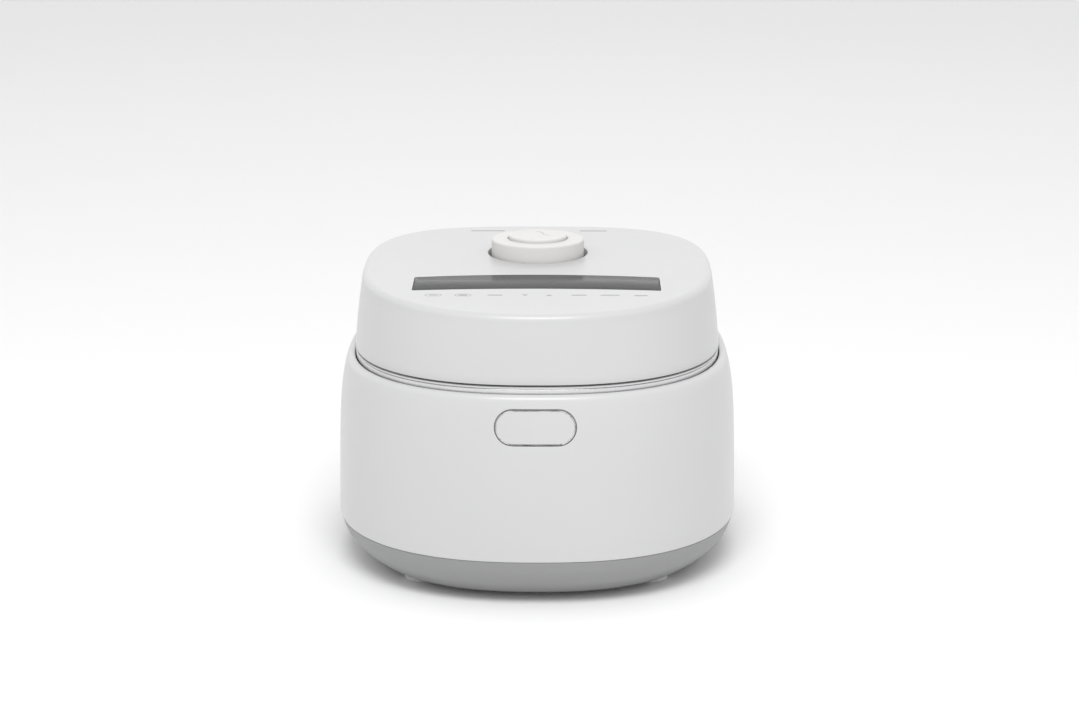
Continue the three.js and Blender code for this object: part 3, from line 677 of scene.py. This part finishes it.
def body_shell():
    """The wall with its rolled crest, its button opening and its socket opening."""
    inner = [(inset + WALL, z) for inset, z in WALL_PROFILE if z < 113.5]
    lip = [(10.3, 116.6), (8.6, 115.4)]
    loop = [*OUTER_PROFILE, *lip, *reversed(inner)]
    rings = [plan_ring(inset, z) for inset, z in loop]
    size = len(ANGLES)
    vertices, faces = bridge(rings, closed=True)
    columns = [c for c, (x, y, _) in enumerate(rings[0]) if y < 0 and abs(x) <= PATCH_HALF]
    removed, edges = set(), []
    for skin in (range(len(OUTER_PROFILE)), range(len(loop) - 1, len(OUTER_PROFILE) + len(lip) - 1, -1)):
        rows = [r for r in skin if PATCH_LOW <= loop[r][1] <= PATCH_HIGH]
        removed |= {(min(a, b), c) for a, b in zip(rows, rows[1:]) for c in columns[:-1]}
        edges.append([r * size + c for c, r in rim_walk(columns, rows)])
    kept = [face for k, face in enumerate(faces) if divmod(k, size) not in removed]

    def grow_from(edge, new_rings):
        """Joins new rings on to an edge and returns the last one's indices."""
        for ring in new_rings:
            start, count = len(vertices), len(ring)
            vertices.extend(ring)
            for i in range(count):
                j = (i + 1) % count
                kept.append((edge[i], edge[j], start + j, start + i))
            edge = list(range(start, start + count))
        return edge

    outer, inner = ([vertices[i] for i in edge] for edge in edges)
    outer_end = grow_from(edges[0], [*opening_rings(outer, 0.0), *opening_throat(outer)])
    inner_end = grow_from(edges[1], opening_rings(inner, WALL))
    kept.extend(join_loops(vertices, outer_end, inner_end))
    obj = make_object("shell_white", vertices, kept)
    z, gap = node_middle("mains_inlet")[2], 0.3
    opening = rounded_box_outline(inlet_high.x + gap, inlet_high.z - z + gap, 3 + gap, z)
    cut(obj, prism("socket_opening", opening, "y", inlet_low.y + 3, inlet_high.y + 9))
    piece(obj, "body_shell")


def join_loops(vertices, loop_a, loop_b):
    """Triangles between two loops of different lengths round the same opening."""
    def turn(i):
        """Direction of a vertex from the opening's middle."""
        x, _, z = vertices[i]
        return atan2(z - BUTTON_Z, x)

    a, b = sorted(loop_a, key=turn), sorted(loop_b, key=turn)
    faces, i, j = [], 0, 0
    while i < len(a) or j < len(b):
        next_a = turn(a[(i + 1) % len(a)]) + (2 * pi if i + 1 >= len(a) else 0)
        next_b = turn(b[(j + 1) % len(b)]) + (2 * pi if j + 1 >= len(b) else 0)
        if j >= len(b) or (i < len(a) and next_a <= next_b):
            faces.append((a[i % len(a)], a[(i + 1) % len(a)], b[j % len(b)]))
            i += 1
        else:
            faces.append((a[i % len(a)], b[(j + 1) % len(b)], b[j % len(b)]))
            j += 1
    return faces


# ---- Other body pieces ----

def base_cover():
    """Shallow tray with its upstand, the fan's vent slots and the screw wells."""
    outer = [(22.0, base_low.z), *curve_through(BASE_CURVE, 8), (0.5, 26.7)]
    inner = [(2.8, 26.7), (2.8, 29.5), (3.6, 29.5), (4.7, 20.0), (8.4, 14.8), (14.2, 9.9), (20.0, 7.0),
             (22.0, 6.2)]
    rings = [plan_ring(inset, z) for inset, z in [*outer, *inner]]
    obj = make_object("base_grey", *capped(rings))
    fan_x, fan_y, _ = node_middle("fan_frame")
    vent_pitch, vent_half = 8, 2
    tools = []
    for k in range(-2, 3):
        x = fan_x + k * vent_pitch
        tools.append(block("vent", (x - vent_half, fan_y - 13, 2), (x + vent_half, fan_y + 15, 8)))
    for corner in CORNERS:
        x, y, _ = node_middle(f"base_screw_{corner}")
        tools.append(prism("screw_well", circle(3.6, x, y, 32), "z", 2, 7))
    cut(obj, *tools)
    piece(obj, "base_cover")


def rim_ring():
    """The satin band, one closed hoop."""
    top, low = ring_high.z, ring_low.z
    face, back = RING_INSET, RING_INSET + 1.5
    profile = soften([
        (back, low, 0), (face, low, 0.2), (face, top, 0.35), (back, top, 0.2), (back, low + 1, 0),
    ])
    rings = [plan_ring(inset, z) for inset, z in profile]
    piece(make_object("ring_satin", *bridge(rings, closed=True)), "rim_ring")


def upper_frame():
    """White frame between the band and the pot: lip, flat top, seat for the flange, and mouth."""
    seat, mouth, step = POT_FLANGE_RADIUS + 2, POT_RADIUS + 3.4, FLANGE_STEP_Z
    rings = [plan_ring(RING_INSET + inward, z) for inward, z in (
        (1.8, frame_low.z), (1.8, ring_high.z + 0.2), (0.1, ring_high.z + 0.2), (-0.1, ring_high.z + 0.35),
        (-0.1, frame_high.z - 0.4), (0.02, frame_high.z - 0.12), (0.35, frame_high.z),
    )]
    edge = round_ring(seat + 0.5, frame_high.z, POT_Y)
    rings += [*between(rings[-1], edge, 4), edge]
    for radius, z in ((seat + 0.15, frame_high.z - 0.15), (seat, frame_high.z - 0.5), (seat, step + 0.4),
                      (seat - 0.3, step), (mouth + 0.6, step), (mouth, step - 0.6), (mouth, frame_low.z)):
        rings.append(round_ring(radius, z, POT_Y))
    rings += between(rings[-1], rings[0], 3)
    obj = make_object("frame_white", *bridge(rings, closed=True))
    low, high = node_box("latch_hook")
    cut(obj, block("hook_slot", (low.x - 1.5, low.y - 2, 110), (high.x + 1.5, high.y + 2.3, 130)))
    piece(obj, "upper_frame")


def feet():
    """Round pads with a shallow dish below and a stud above."""
    for name in [f"foot_{corner}" for corner in CORNERS]:
        radius, top = node_radius(name), node_box(name)[1].z
        profile = soften([
            (0, 0.3, 0), (radius - 3.2, 0.3, 0.1), (radius - 2.8, 0, 0.2), (radius - 0.8, 0, 0.4),
            (radius, 1.0, 0.5), (radius, 3.0, 0.3), (2.0, 3.0, 0), (2.0, top, 0.3), (0, top, 0),
        ])
        piece(turned(f"pad_{name}", profile, node_middle(name)[:2], 96), name)


def inner_pot():
    """Pot with a round bottom and a flat flange."""
    r, flange = POT_RADIUS, POT_FLANGE_RADIUS
    bore = r - 2.2
    low, top = (corner.z for corner in node_box("inner_pot"))
    outside = curve_through([
        (50, low), (58, low), (68, low + 2.8), (76, low + 10), (80.6, low + 20), (r, low + 32),
        (r, low + 48),
    ], 6)
    inside = curve_through([
        (bore, low + 48.4), (bore, low + 32.4), (78.4, low + 21), (74.2, low + 11.6), (67, low + 5),
        (57.6, low + 2.2), (50, low + 2.2),
    ], 6)
    rim = soften([
        (r, top - 2.2, 0), (r, top - 1.4, 0.5), (flange, top - 1.4, 0.5), (flange, top, 0.6),
        (bore + 0.6, top, 0.6), (bore, top - 1.2, 0),
    ])
    obj = turned("pot", [(0, low), *outside, *rim, *inside, (0, low + 2.2)], (0, POT_Y), 160)
    piece(obj, "inner_pot")


def cap_pieces():
    """The steam cap with its dished top, and the disc that stands in the dish."""
    base, well_top = (corner.z for corner in node_box("steam_cap"))
    r, dish = CAP_RADIUS, DISC_RADIUS + 0.7
    wall = r - 2.1
    body = soften([
        (wall, base, 0.2), (r - 0.1, base, 0.3), (r, well_top, 1.5), (dish, well_top, 0.35),
        (dish, well_top - 1.0, 0.15), (8, well_top - 1.0, 0), (8, well_top - 3, 0), (wall, well_top - 3, 0.5),
    ], 6, closed=True)
    piece(turned("vent_cap", body, (0, CAP_Y), 160), "steam_cap")
    disc_low, disc_high = node_box("steam_cap_disc")
    low, seat, top = disc_low.z, well_top - 0.7, disc_high.z - 0.04
    disc = soften([
        (0, low, 0), (5, low, 0.3), (5, seat, 0.3), (DISC_RADIUS, seat, 0.3), (DISC_RADIUS, top, 0.9),
        (0, top, 0),
    ], 6)
    piece(turned("vent_disc", disc, (0, CAP_Y), 160), "steam_cap_disc")


# ---- Lid ----

def lid_top(drop=0.0):
    """Height of the sloping lid top as a function of y, lowered by drop."""
    return lambda y: LID_TOP_Z + LID_SLOPE * y - drop


def lid_wall_rings(inset, edge_z, lower, steps):
    """Rings up the lid's wall and round its top fillet, moved in by inset."""
    rings = []
    start, end = LID_EDGE_INSET + inset, LID_TOP_INSET + inset
    rings.append(plan_ring(start + 0.5, edge_z))
    rings.append(plan_ring(start + 0.15, edge_z + 0.15))
    for k in range(9):
        share = k / 8
        power = FRONT_POWER + (LID_POWER - FRONT_POWER) * share
        wall_top = lid_top(lower + LID_FILLET)
        curve = start + (end - start) * (0.62 * share + 0.38 * share * share)
        low_z = edge_z + 0.5
        rings.append(plan_ring(curve, lambda y, s=share: low_z + (wall_top(y) - low_z) * s, power))
    for k in range(1, steps + 1):
        turn = k / steps * pi / 2
        inward, drop = LID_FILLET * (1 - cos(turn)), LID_FILLET * (1 - sin(turn))
        rings.append(plan_ring(end + inward, lid_top(lower + drop), LID_POWER))
    return rings


def ear_notches():
    """Room in the lid for the hinge housing's two ears."""
    return [
        prism("notch", circle(NOTCH_RADIUS, PIN_Y, PIN_Z), "x",
              *sorted((sign * (EAR_INNER - 0.5), sign * (hinge_high.x + 0.7))))
        for sign in (-1, 1)
    ]


def lid_cover():
    """Domed cover with the steam well, the window opening and the hinge barrel."""
    outside = lid_wall_rings(0, LID_EDGE_Z, 0, 10)
    guide = outside[-1]
    mouth = round_ring(WELL_RADIUS + 0.5, lid_top(), CAP_Y, guide)
    sleeve, under = TUBE_RADIUS + 0.3, WELL_FLOOR_Z - 2.2
    down = [round_ring(radius, z, CAP_Y, guide) for radius, z in (
        (WELL_RADIUS + 0.13, lid_top(0.14)), (WELL_RADIUS, lid_top(0.5)), (WELL_RADIUS, WELL_FLOOR_Z + 0.5),
        (WELL_RADIUS - 0.5, WELL_FLOOR_Z), (sleeve, WELL_FLOOR_Z), (sleeve, under),
        (WELL_RADIUS + 2.2, under),
    )]
    inside = lid_wall_rings(WALL, LID_EDGE_Z, WALL, 3)
    shelf = round_ring(WELL_RADIUS + 2.2, lid_top(WALL), CAP_Y, guide)
    rings = [
        *outside, *between(guide, mouth, 6), mouth, *down, shelf,
        *between(shelf, inside[-1], 2), *reversed(inside),
    ]
    obj = make_object("lid_white", *bridge(rings, closed=True))
    add(obj, prism("barrel", circle(BARREL_RADIUS, PIN_Y, PIN_Z), "x", -BARREL_HALF, BARREL_HALF),
        block("web", (-BARREL_HALF, 105.5, LID_EDGE_Z + 0.3), (BARREL_HALF, PIN_Y, PIN_Z + 4)))
    cut(obj, lid_slab("window_opening", window_outline(0.3), -2, 6), *ear_notches(),
        prism("bore", circle(PIN_BORE_RADIUS, PIN_Y, PIN_Z, 24), "x", -50, 50))
    piece(obj, "lid_cover")


def window_outline(grow):
    """Outline of the display window: straight ends, long edges bowed towards the back."""
    low, high = node_box("display_window")
    half = high.x + grow
    front_mid, front_end = low.y + 4.2 - grow, low.y - grow
    rear_mid, rear_end = high.y + grow, high.y - 6.2 + grow
    along = np.linspace(-1, 1, 41)
    front = [(half * t, front_mid + (front_end - front_mid) * t * t) for t in along]
    rear = [(half * t, rear_mid + (rear_end - rear_mid) * t * t) for t in reversed(along)]
    corners = [(x, y, WINDOW_CORNER if abs(x) > half - 0.01 else 0) for x, y in front + rear]
    return soften(corners, 5, closed=True)


def lid_slab(name, outline, shallow=-0.04, deep=MARK_SINK):
    """An outline as a slab parallel to the lid top, between two depths below it."""
    rings = [[(x, y, lid_top(depth)(y)) for x, y in outline] for depth in (deep, shallow)]
    return make_object(name, *capped(rings))


def display_window():
    """Smoked window, flush with the lid top."""
    obj = lid_slab("window_smoked", window_outline(0), 0.03, 2.2)
    soft_edges(obj, 0.15)
    piece(obj, "display_window")


def bar_outline(x, y, length, height):
    """Bar with round ends about (x, y)."""
    r = height / 2
    end = [(length / 2 - r + u, v) for u, v in arc(r, -pi / 2, pi / 2, 9)]
    return [(x + u, y + v) for u, v in end] + [(x - u, y - v) for u, v in end]


def ribbon(points, width):
    """Closed outline of a stroke of even width along the points."""
    pts = np.array(points, float)
    run = np.gradient(pts, axis=0)
    run /= np.linalg.norm(run, axis=1)[:, None]
    side = np.stack([-run[:, 1], run[:, 0]], axis=1) * width / 2
    return [tuple(p) for p in pts + side] + [tuple(p) for p in (pts - side)[::-1]]


def ring_ribbon(name, length, height, x, y, width):
    """A thin pill-shaped line on the lid top."""
    turns = np.linspace(0, 2 * pi, 65)[:-1]
    outer = [pill_point(t, length, height) for t in turns]
    inner = [pill_point(t, length - 2 * width, height - 2 * width) for t in turns]
    rings = []
    for outline, depth in ((inner, MARK_SINK), (outer, MARK_SINK), (outer, -0.03), (inner, -0.03)):
        rings.append([(x + u, y + v, lid_top(depth)(y + v)) for u, v in outline])
    return make_object(name, *bridge(rings, closed=True))


def touch_marks():
    """Plain marks for the touch keys in front of the window, and two at the back of the lid."""
    shapes = []
    for k, x in enumerate((-57, -40.5)):
        shapes.append(ring_ribbon(f"key_ring_{k}", 9.4, 5.4, x, KEY_ROW_Y, 0.55))
        shapes.append(lid_slab(f"key_dash_{k}", bar_outline(x, KEY_ROW_Y, 5.2, 1.6 + 1.2 * k)))
    bars = ((-22.8, 0, 8.6), (23.6, 0, 8.6), (40.7, 0, 10.8), (57.8, 0.7, 7.6))
    for k, (x, back, length) in enumerate(bars):
        shapes.append(lid_slab(f"key_bar_{k}", bar_outline(x, KEY_ROW_Y - back, length, 1.9)))
    for k, (x, tip) in enumerate(((-6.2, -1.6), (7, 1.6))):
        foot_y, half = KEY_ROW_Y - tip, 1.9
        corners = [(x - half, foot_y, 0.3), (x + half, foot_y, 0.3), (x, KEY_ROW_Y + tip, 0.3)]
        shapes.append(lid_slab(f"key_arrow_{k}", soften(corners, 4, closed=True)))
    for k, (x, length) in enumerate(((-31, 21), (33.5, 17))):
        shapes.append(lid_slab(f"rear_bar_{k}", bar_outline(x, REAR_BAR_Y, length, 2.2)))
    for obj in shapes:
        trim(obj, "lid", "grey_plastic", LEGEND)


def cap_mark():
    """A plain wavy stroke on the steam cap's disc."""
    top = node_box("steam_cap_disc")[1].z
    along = np.linspace(0, 1, 25)
    stroke = [(-1.0 + 8.0 * t + 1.1 * sin(2 * pi * t), 43 - 13.5 * t) for t in along]
    mark = prism("cap_stroke", ribbon(stroke, 1.3), "z", top - 0.1, top - 0.012)
    trim(mark, "steam_vent", "warm_white_plastic", CAP_MARK)


def lid_under_side():
    """Lid frame with its round recess, the inner lid and the gasket."""
    low, high = node_box("lid_frame")
    inset, base, top = HALF_WIDTH - high.x, low.z, high.z
    recess = 87.5
    centre = (0, POT_Y)
    rings = [plan_ring(inset + more, base + rise)
             for more, rise in ((0.5, 0), (0.15, 0.15), (0.02, 0.5), (0.3, 2.1), (0.7, 2.5))]
    obj = make_object("lid_liner", *capped(rings))
    pan = [(0, base + 0.7, 0), (recess + 2, base + 0.7, 0), (recess + 2, top, 1), (0, top, 0)]
    add(obj, turned("pan", soften(pan), centre, 160))
    cut(obj, turned("recess", soften([
        (0, 110, 0), (recess + 0.6, 110, 0), (recess + 0.6, base, 0), (recess, base + 0.6, 0),
        (recess, top - 2, 1.5), (0, top - 2, 0),
    ]), centre, 160))
    hook_low, hook_high = node_box("latch_hook")
    steam = TUBE_RADIUS + 0.3
    cut(obj,
        turned("steam_hole", [(0, 120), (steam, 120), (steam, 150), (0, 150)], (0, CAP_Y), 96),
        block("hook_slot", (hook_low.x - 2, -111.5, 120), (hook_high.x + 2, -98.5, 128)),
        *ear_notches())
    piece(obj, "lid_frame")
    plate = turned("liner_plate", soften([
        (0, 130.2, 0), (59, 130.2, 1), (67, 129.2, 1), (82, 129.2, 0.3), (82, 130.8, 0.3), (66.5, 130.8, 1),
        (60, 131.2, 1), (0, 131.2, 0),
    ]), centre, 160)
    holes = [prism("hole", circle(STEAM_BORE, 0, CAP_Y, 64), "z", 120, 140)]
    for k in range(6):
        turn = k * pi / 3 + 0.5
        spot = circle(1.5, 14 * cos(turn), CAP_Y + 14 * sin(turn), 24)
        holes.append(prism("hole", spot, "z", 120, 140))
    cut(plate, *holes)
    piece(plate, "inner_lid")
    gasket = turned("liner_seal", soften([
        (83, 121.7, 0.5), (86.6, 121.7, 0.5), (86.9, 133, 0.4), (80, 133, 0.3), (80, 131.3, 0.3),
        (82.4, 131.3, 0.3), (82.4, 127, 1.5),
    ], 5, closed=True), centre, 160)
    piece(gasket, "inner_lid_gasket")


def steam_path():
    """The tube under the cap, its packing, and the cap's base and gasket, all round."""
    bore = STEAM_BORE
    for node, name, steps, outline in (
        ("steam_tube", "steam_pipe", 4, lambda low, top: [
            (bore, low, 0.2), (TUBE_RADIUS, low, 0.2), (TUBE_RADIUS, top, 0.5), (bore, top, 0.5)]),
        ("steam_packing", "pipe_seal", 4, lambda low, top: [
            (bore, low, 0.4), (10, low, 0.6), (10, top, 0.6), (bore, top, 0.4)]),
        ("steam_cap_base", "vent_base", 4, lambda low, top: [
            (bore, low, 0.3), (24.9, low, 0.4), (24.9, top, 0.4), (23.3, top, 0.4), (23.3, low + 1.7, 0.4),
            (bore + 1.6, low + 1.7, 0.4), (bore + 1.6, top, 0.4), (bore, top, 0.4)]),
        ("steam_gasket", "vent_seal", 5, lambda low, top: [
            (9, low, 0.5), (12, low, 0.9), (12, top, 0.9), (9, top, 0.5)]),
    ):
        low, high = node_box(node)
        profile = soften(outline(low.z, high.z), steps, closed=True)
        piece(turned(name, profile, (0, CAP_Y), 96), node)


# ---- Button ----

def pill_loop(half_run, radius, z):
    """Points (x, z) round a pill, the same count whatever its radius."""
    half = [(x, -radius) for x in np.linspace(-half_run, half_run, 20, endpoint=False)]
    half += [(half_run + u, v) for u, v in arc(radius, -pi / 2, pi / 2, 29)[:-1]]
    return [(x, z + v) for x, v in half] + [(-x, z - v) for x, v in half]


def open_button():
    """Pill-shaped button that follows the wall's curve, with its hidden flange, stem and nose."""
    radius = BUTTON_HEIGHT / 2
    half_run = BUTTON_LENGTH / 2 - radius
    edge, skin = 0.45, 2.6
    rounds = np.linspace(0, pi / 2, 6)
    flange, flange_depth = BUTTON_GAP - 0.15, 1.6
    steps = [(r, skin) for r in (0, 3, 6, 8.5, radius, radius + flange)]
    steps += [(radius + flange, flange_depth + 0.15), (radius + flange - 0.15, flange_depth)]
    steps += [(radius + 0.12, flange_depth), (radius, flange_depth - 0.12)]
    steps += [(radius - edge * (1 - cos(t)), 0.02 + edge * (1 - sin(t))) for t in rounds]
    steps += [(r, 0.02) for r in (9.4, 8.6, 7, 5, 3, 1.5, 0)]
    rings = []
    for r, depth in steps:
        loop = pill_loop(half_run, r, BUTTON_Z)
        rings.append([(x, front_y(x, z, depth), z) for x, z in loop])
    obj = make_object("button_white", *bridge(rings))
    add(obj, block("stem", (-6, -121.6, BUTTON_Z - 6), (6, -114.4, BUTTON_Z + 2), 0.5),
        prism("nose", circle(2, 0, BUTTON_Z - 3.5, 32), "y", -115, button_high.y))
    piece(obj, "open_button")


# ---- Hinge, inlet, screws and small parts ----

def body_block(inset):
    """The whole body's outside as one smooth block, drawn in by inset."""
    base = curve_through(BASE_CURVE, 4)
    shell = [p for p in OUTER_PROFILE if p[1] < CREST_Z and p[0] < 9]
    rings = [plan_ring(i + inset, z) for i, z in [*base, *shell, (9.2, CREST_Z)]]
    return make_object("body_block", *capped(rings))


def hinge_housing():
    """Rear block with a bowed back, two ears round the pin, a hollow inside and two screw bosses."""
    reach, half = hinge_high.y, hinge_high.x
    foot_z, ledge_z, lip_z, lip_radius = 80, 118.6, 123.5, 2
    start, turn, end = np.array([118.4, foot_z]), np.array([reach - 1, 88]), np.array([reach, 98])
    bow = [tuple((1 - t) ** 2 * start + 2 * t * (1 - t) * turn + t * t * end) for t in np.linspace(0, 1, 12)]
    lip = [(reach - lip_radius + u, lip_z + v) for u, v in arc(lip_radius, 0, pi, 12)]
    outline = [(104, foot_z), *bow, *lip, (reach - 4, ledge_z + 0.6), (108.4, ledge_z), (104, ledge_z)]
    obj = prism("hinge_white", outline, "x", -half, half)
    soft_edges(obj, 1.2, 60, 4)
    for sign in (-1, 1):
        ends = sorted((sign * EAR_INNER, sign * half))
        ear = prism("ear", circle(BARREL_RADIUS, PIN_Y, PIN_Z, 96), "x", *ends)
        soft_edges(ear, 0.6, 60, 3)
        post = block("post", (ends[0] + 0.3, 108.4, 117), (ends[1] - 0.3, reach - 4, PIN_Z - 1), 0.3)
        add(obj, ear, post)
    cut(obj,
        block("hollow", (-half + 2.4, 100, 92), (half - 2.4, reach - 3, 115.6), 1),
        prism("trough", circle(NOTCH_RADIUS - 0.1, PIN_Y, PIN_Z, 96), "x", -EAR_INNER, EAR_INNER),
        prism("bore", circle(PIN_BORE_RADIUS, PIN_Y, PIN_Z, 32), "x", -46.4, 46.4))
    tools = [body_block(-0.3)]
    for name in ("hinge_screw_left", "hinge_screw_right"):
        x, _, z = node_middle(name)
        add(obj, prism("boss", circle(5, x, z, 48), "y", 108, reach - 2))
        tools.append(prism("hole", circle(1.8, x, z, 32), "y", 100, 130))
        tools.append(prism("counterbore", circle(3.3, x, z, 48), "y", reach - 2.4, 130))
    cut(obj, *tools)
    piece(obj, "hinge_housing")


def rounded_box_outline(half_u, half_v, radius, v=0.0):
    """Rectangle with round corners about (0, v)."""
    corners = [(-half_u, -half_v), (half_u, -half_v), (half_u, half_v), (-half_u, half_v)]
    return soften([(a, v + b, radius) for a, b in corners], 8, closed=True)


def mains_inlet():
    """Socket with a plain rounded well."""
    z, half_u, half_v = node_middle("mains_inlet")[2], inlet_high.x, (inlet_high.z - inlet_low.z) / 2
    rim, radius = 3.5, 3
    obj = prism("socket_body", rounded_box_outline(half_u, half_v, radius, z), "y", inlet_low.y, inlet_high.y)
    soft_edges(obj, 0.5, 60, 3)
    cut(obj, prism("socket", rounded_box_outline(half_u - rim, half_v - rim, radius, z), "y", 108, 130))
    piece(obj, "mains_inlet")


def cross_screw(node, facing_down, depth):
    """Pan head with a cross recess on a plain shank, facing down or to the rear."""
    low, high = node_box(node)
    x, y, z = node_middle(node)
    head, shank = node_radius(node), 1.5
    span = high.z - low.z if facing_down else high.y - low.y
    profile = soften([
        (0, 0, 0), (head, 0, 0.7), (head, depth, 0.2), (shank, depth, 0), (shank, span - 1, 0.3),
        (0.5, span, 0.2), (0, span, 0),
    ])
    obj = turned(f"turned_{node}", profile, (0, 0), 64)
    for half, arm in ((0.45, head * 0.62), (head * 0.62, 0.45)):
        cut(obj, block("slot", (-half, -arm, -1), (half, arm, 1)))
    if facing_down:
        place = Matrix.Translation(Vector((x, y, low.z)) * MM)
    else:
        place = Matrix.Translation(Vector((x, high.y, z)) * MM) @ Matrix.Rotation(radians(90), 4, "X")
    obj.data.transform(place)
    piece(obj, node)


def coil_spring(node, axis, wire, turns):
    """Smooth round-wire coil along an axis (0 x, 1 y, 2 z) that fills the node's box."""
    low, high = node_box(node)
    middle = node_middle(node)
    u, v = [k for k in range(3) if k != axis]
    radius = min(high[u] - low[u], high[v] - low[v]) / 2 - wire - 0.02
    span = high[axis] - low[axis] - 2 * wire - 0.04
    rings = []
    for share in np.linspace(0, 1, 40 * turns + 1):
        turn = share * turns * 2 * pi
        ring = []
        for t in np.linspace(0, 2 * pi, 12, endpoint=False):
            out = radius + wire * cos(t)
            point = Vector(middle)
            point[u] += out * cos(turn)
            point[v] += out * sin(turn)
            point[axis] += (share - 0.5) * span + wire * sin(t)
            ring.append(point)
        rings.append(ring)
    obj = make_object(f"coil_{node}", *capped(rings))
    piece(obj, node)
    return obj


def springs():
    """All the springs; the one under the sensor gets a mesh of its own."""
    for side in ("left", "right"):
        coil_spring(f"button_spring_{side}", 1, 0.45, 3)
        coil_spring(f"hinge_spring_{side}", 0, 0.6, 5)
    coil_spring("latch_spring", 0, 0.4, 2)
    spring = coil_spring("sensor_spring", 2, 0.7, 3)
    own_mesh(spring)


def round_pin(node):
    """Plain round bar along x with eased ends, filling the node's box."""
    low, high = node_box(node)
    outline = circle((high.z - low.z) / 2, *node_middle(node)[1:], 48)
    obj = prism(f"pin_{node}", outline, "x", low.x, high.x)
    soft_edges(obj, 0.3, 60)
    piece(obj, node)


def small_parts():
    """Screws, pins, springs and the pieces that only have their CAD edges eased."""
    for corner in CORNERS:
        cross_screw(f"base_screw_{corner}", True, 2.1)
    for side in ("left", "right"):
        cross_screw(f"hinge_screw_{side}", False, 1.8)
    for width, segments, names in (
        (0.3, 2, ("latch_hook", "latch_bracket", "lid_catch", "inlet_contact_left", "inlet_contact_right")),
        (0.2, 2, ("power_board", "display_board", "display_panel", "filter_capacitor", "heat_sink")),
        (0.6, 3, [f"ferrite_bar_{k}" for k in (1, 2, 3, 4)]),
        (0.15, 2, ("fan_frame", "fan_rotor", "temperature_sensor")),
    ):
        for name in names:
            refined(name, width, segments)
    for name in ("latch_pin", "hinge_pin"):
        round_pin(name)
    springs()


# ---- Stage ----

def stage_sheet(name, corners, surface, grain):
    """A plain four-cornered sheet that is scenery and not part of the object."""
    sheet = add_to_scene(name, raw_mesh(name, corners, [(0, 1, 2, 3)]))
    surface.bump(surface.noise(*grain), 0.02, 0.05)
    finish(sheet, surface.material)


def floor_and_backdrop():
    """A wide pale floor, and a bright plain sheet far behind the object."""
    reach, width, back = 12000, 14000, 9000
    corners = [(-reach, -reach, 0), (reach, -reach, 0), (reach, reach, 0), (-reach, reach, 0)]
    stage_sheet("floor", corners, Surface("floor_pale", (0.9, 0.9, 0.9), 0.9), (200, 2))
    corners = [(-width, back, 0), (width, back, 0), (width, back, back), (-width, back, back)]
    glow = {"Emission_Color": (1, 1, 1, 1), "Emission_Strength": 0.35}
    bright = Surface("backdrop_white", (0.9, 0.9, 0.9), 1.0, **glow)
    stage_sheet("backdrop", corners, bright, (4, 1))


def area_light(name, place, aim, size, power):
    """Rectangular light at a place in metres, turned towards its aim."""
    light = bpy.data.lights.new(name, "AREA")
    light.shape = "RECTANGLE"
    light.size, light.size_y = size
    light.energy = power
    obj = add_to_scene(name, light)
    obj.location = place
    obj.rotation_euler = (Vector(aim) - Vector(place)).to_track_quat("-Z", "Y").to_euler()


def lights():
    """Even white surroundings, a soft key light above the front and a weak one behind."""
    world = bpy.data.worlds.new("studio")
    world.use_nodes = True
    background = world.node_tree.nodes["Background"]
    background.inputs["Color"].default_value = (1, 1, 1, 1)
    background.inputs["Strength"].default_value = 0.77
    bpy.context.scene.world = world
    area_light("rear", (0, 2.0, 1.6), (0, 0.4, 0.05), (1.4, 0.8), 1.5)
    area_light("key", (0, -1.22, 1.94), (0, 0, 0.08), (1.1, 0.8), 26.0)


def camera():
    """Long lens 1.4 m in front and a little above, looking slightly down."""
    place = Vector((0.001258, -1.4, 0.45466))
    pitch, heading = radians(13.847), radians(-0.438)
    data = bpy.data.cameras.new("camera")
    data.sensor_width = 36.0
    data.lens = 82.3096
    data.clip_end = 60
    obj = add_to_scene("camera", data)
    obj.location = Matrix.Rotation(-heading, 4, "Z") @ place
    obj.rotation_euler = (pi / 2 - pitch, 0, -heading)
    bpy.context.scene.camera = obj


cad_finishes()
body_shell()
base_cover()
rim_ring()
upper_frame()
feet()
inner_pot()
lid_cover()
display_window()
touch_marks()
lid_under_side()
steam_path()
cap_pieces()
cap_mark()
open_button()
hinge_housing()
mains_inlet()
small_parts()
floor_and_backdrop()
lights()
camera()
bpy.context.scene.view_settings.view_transform = "Standard"
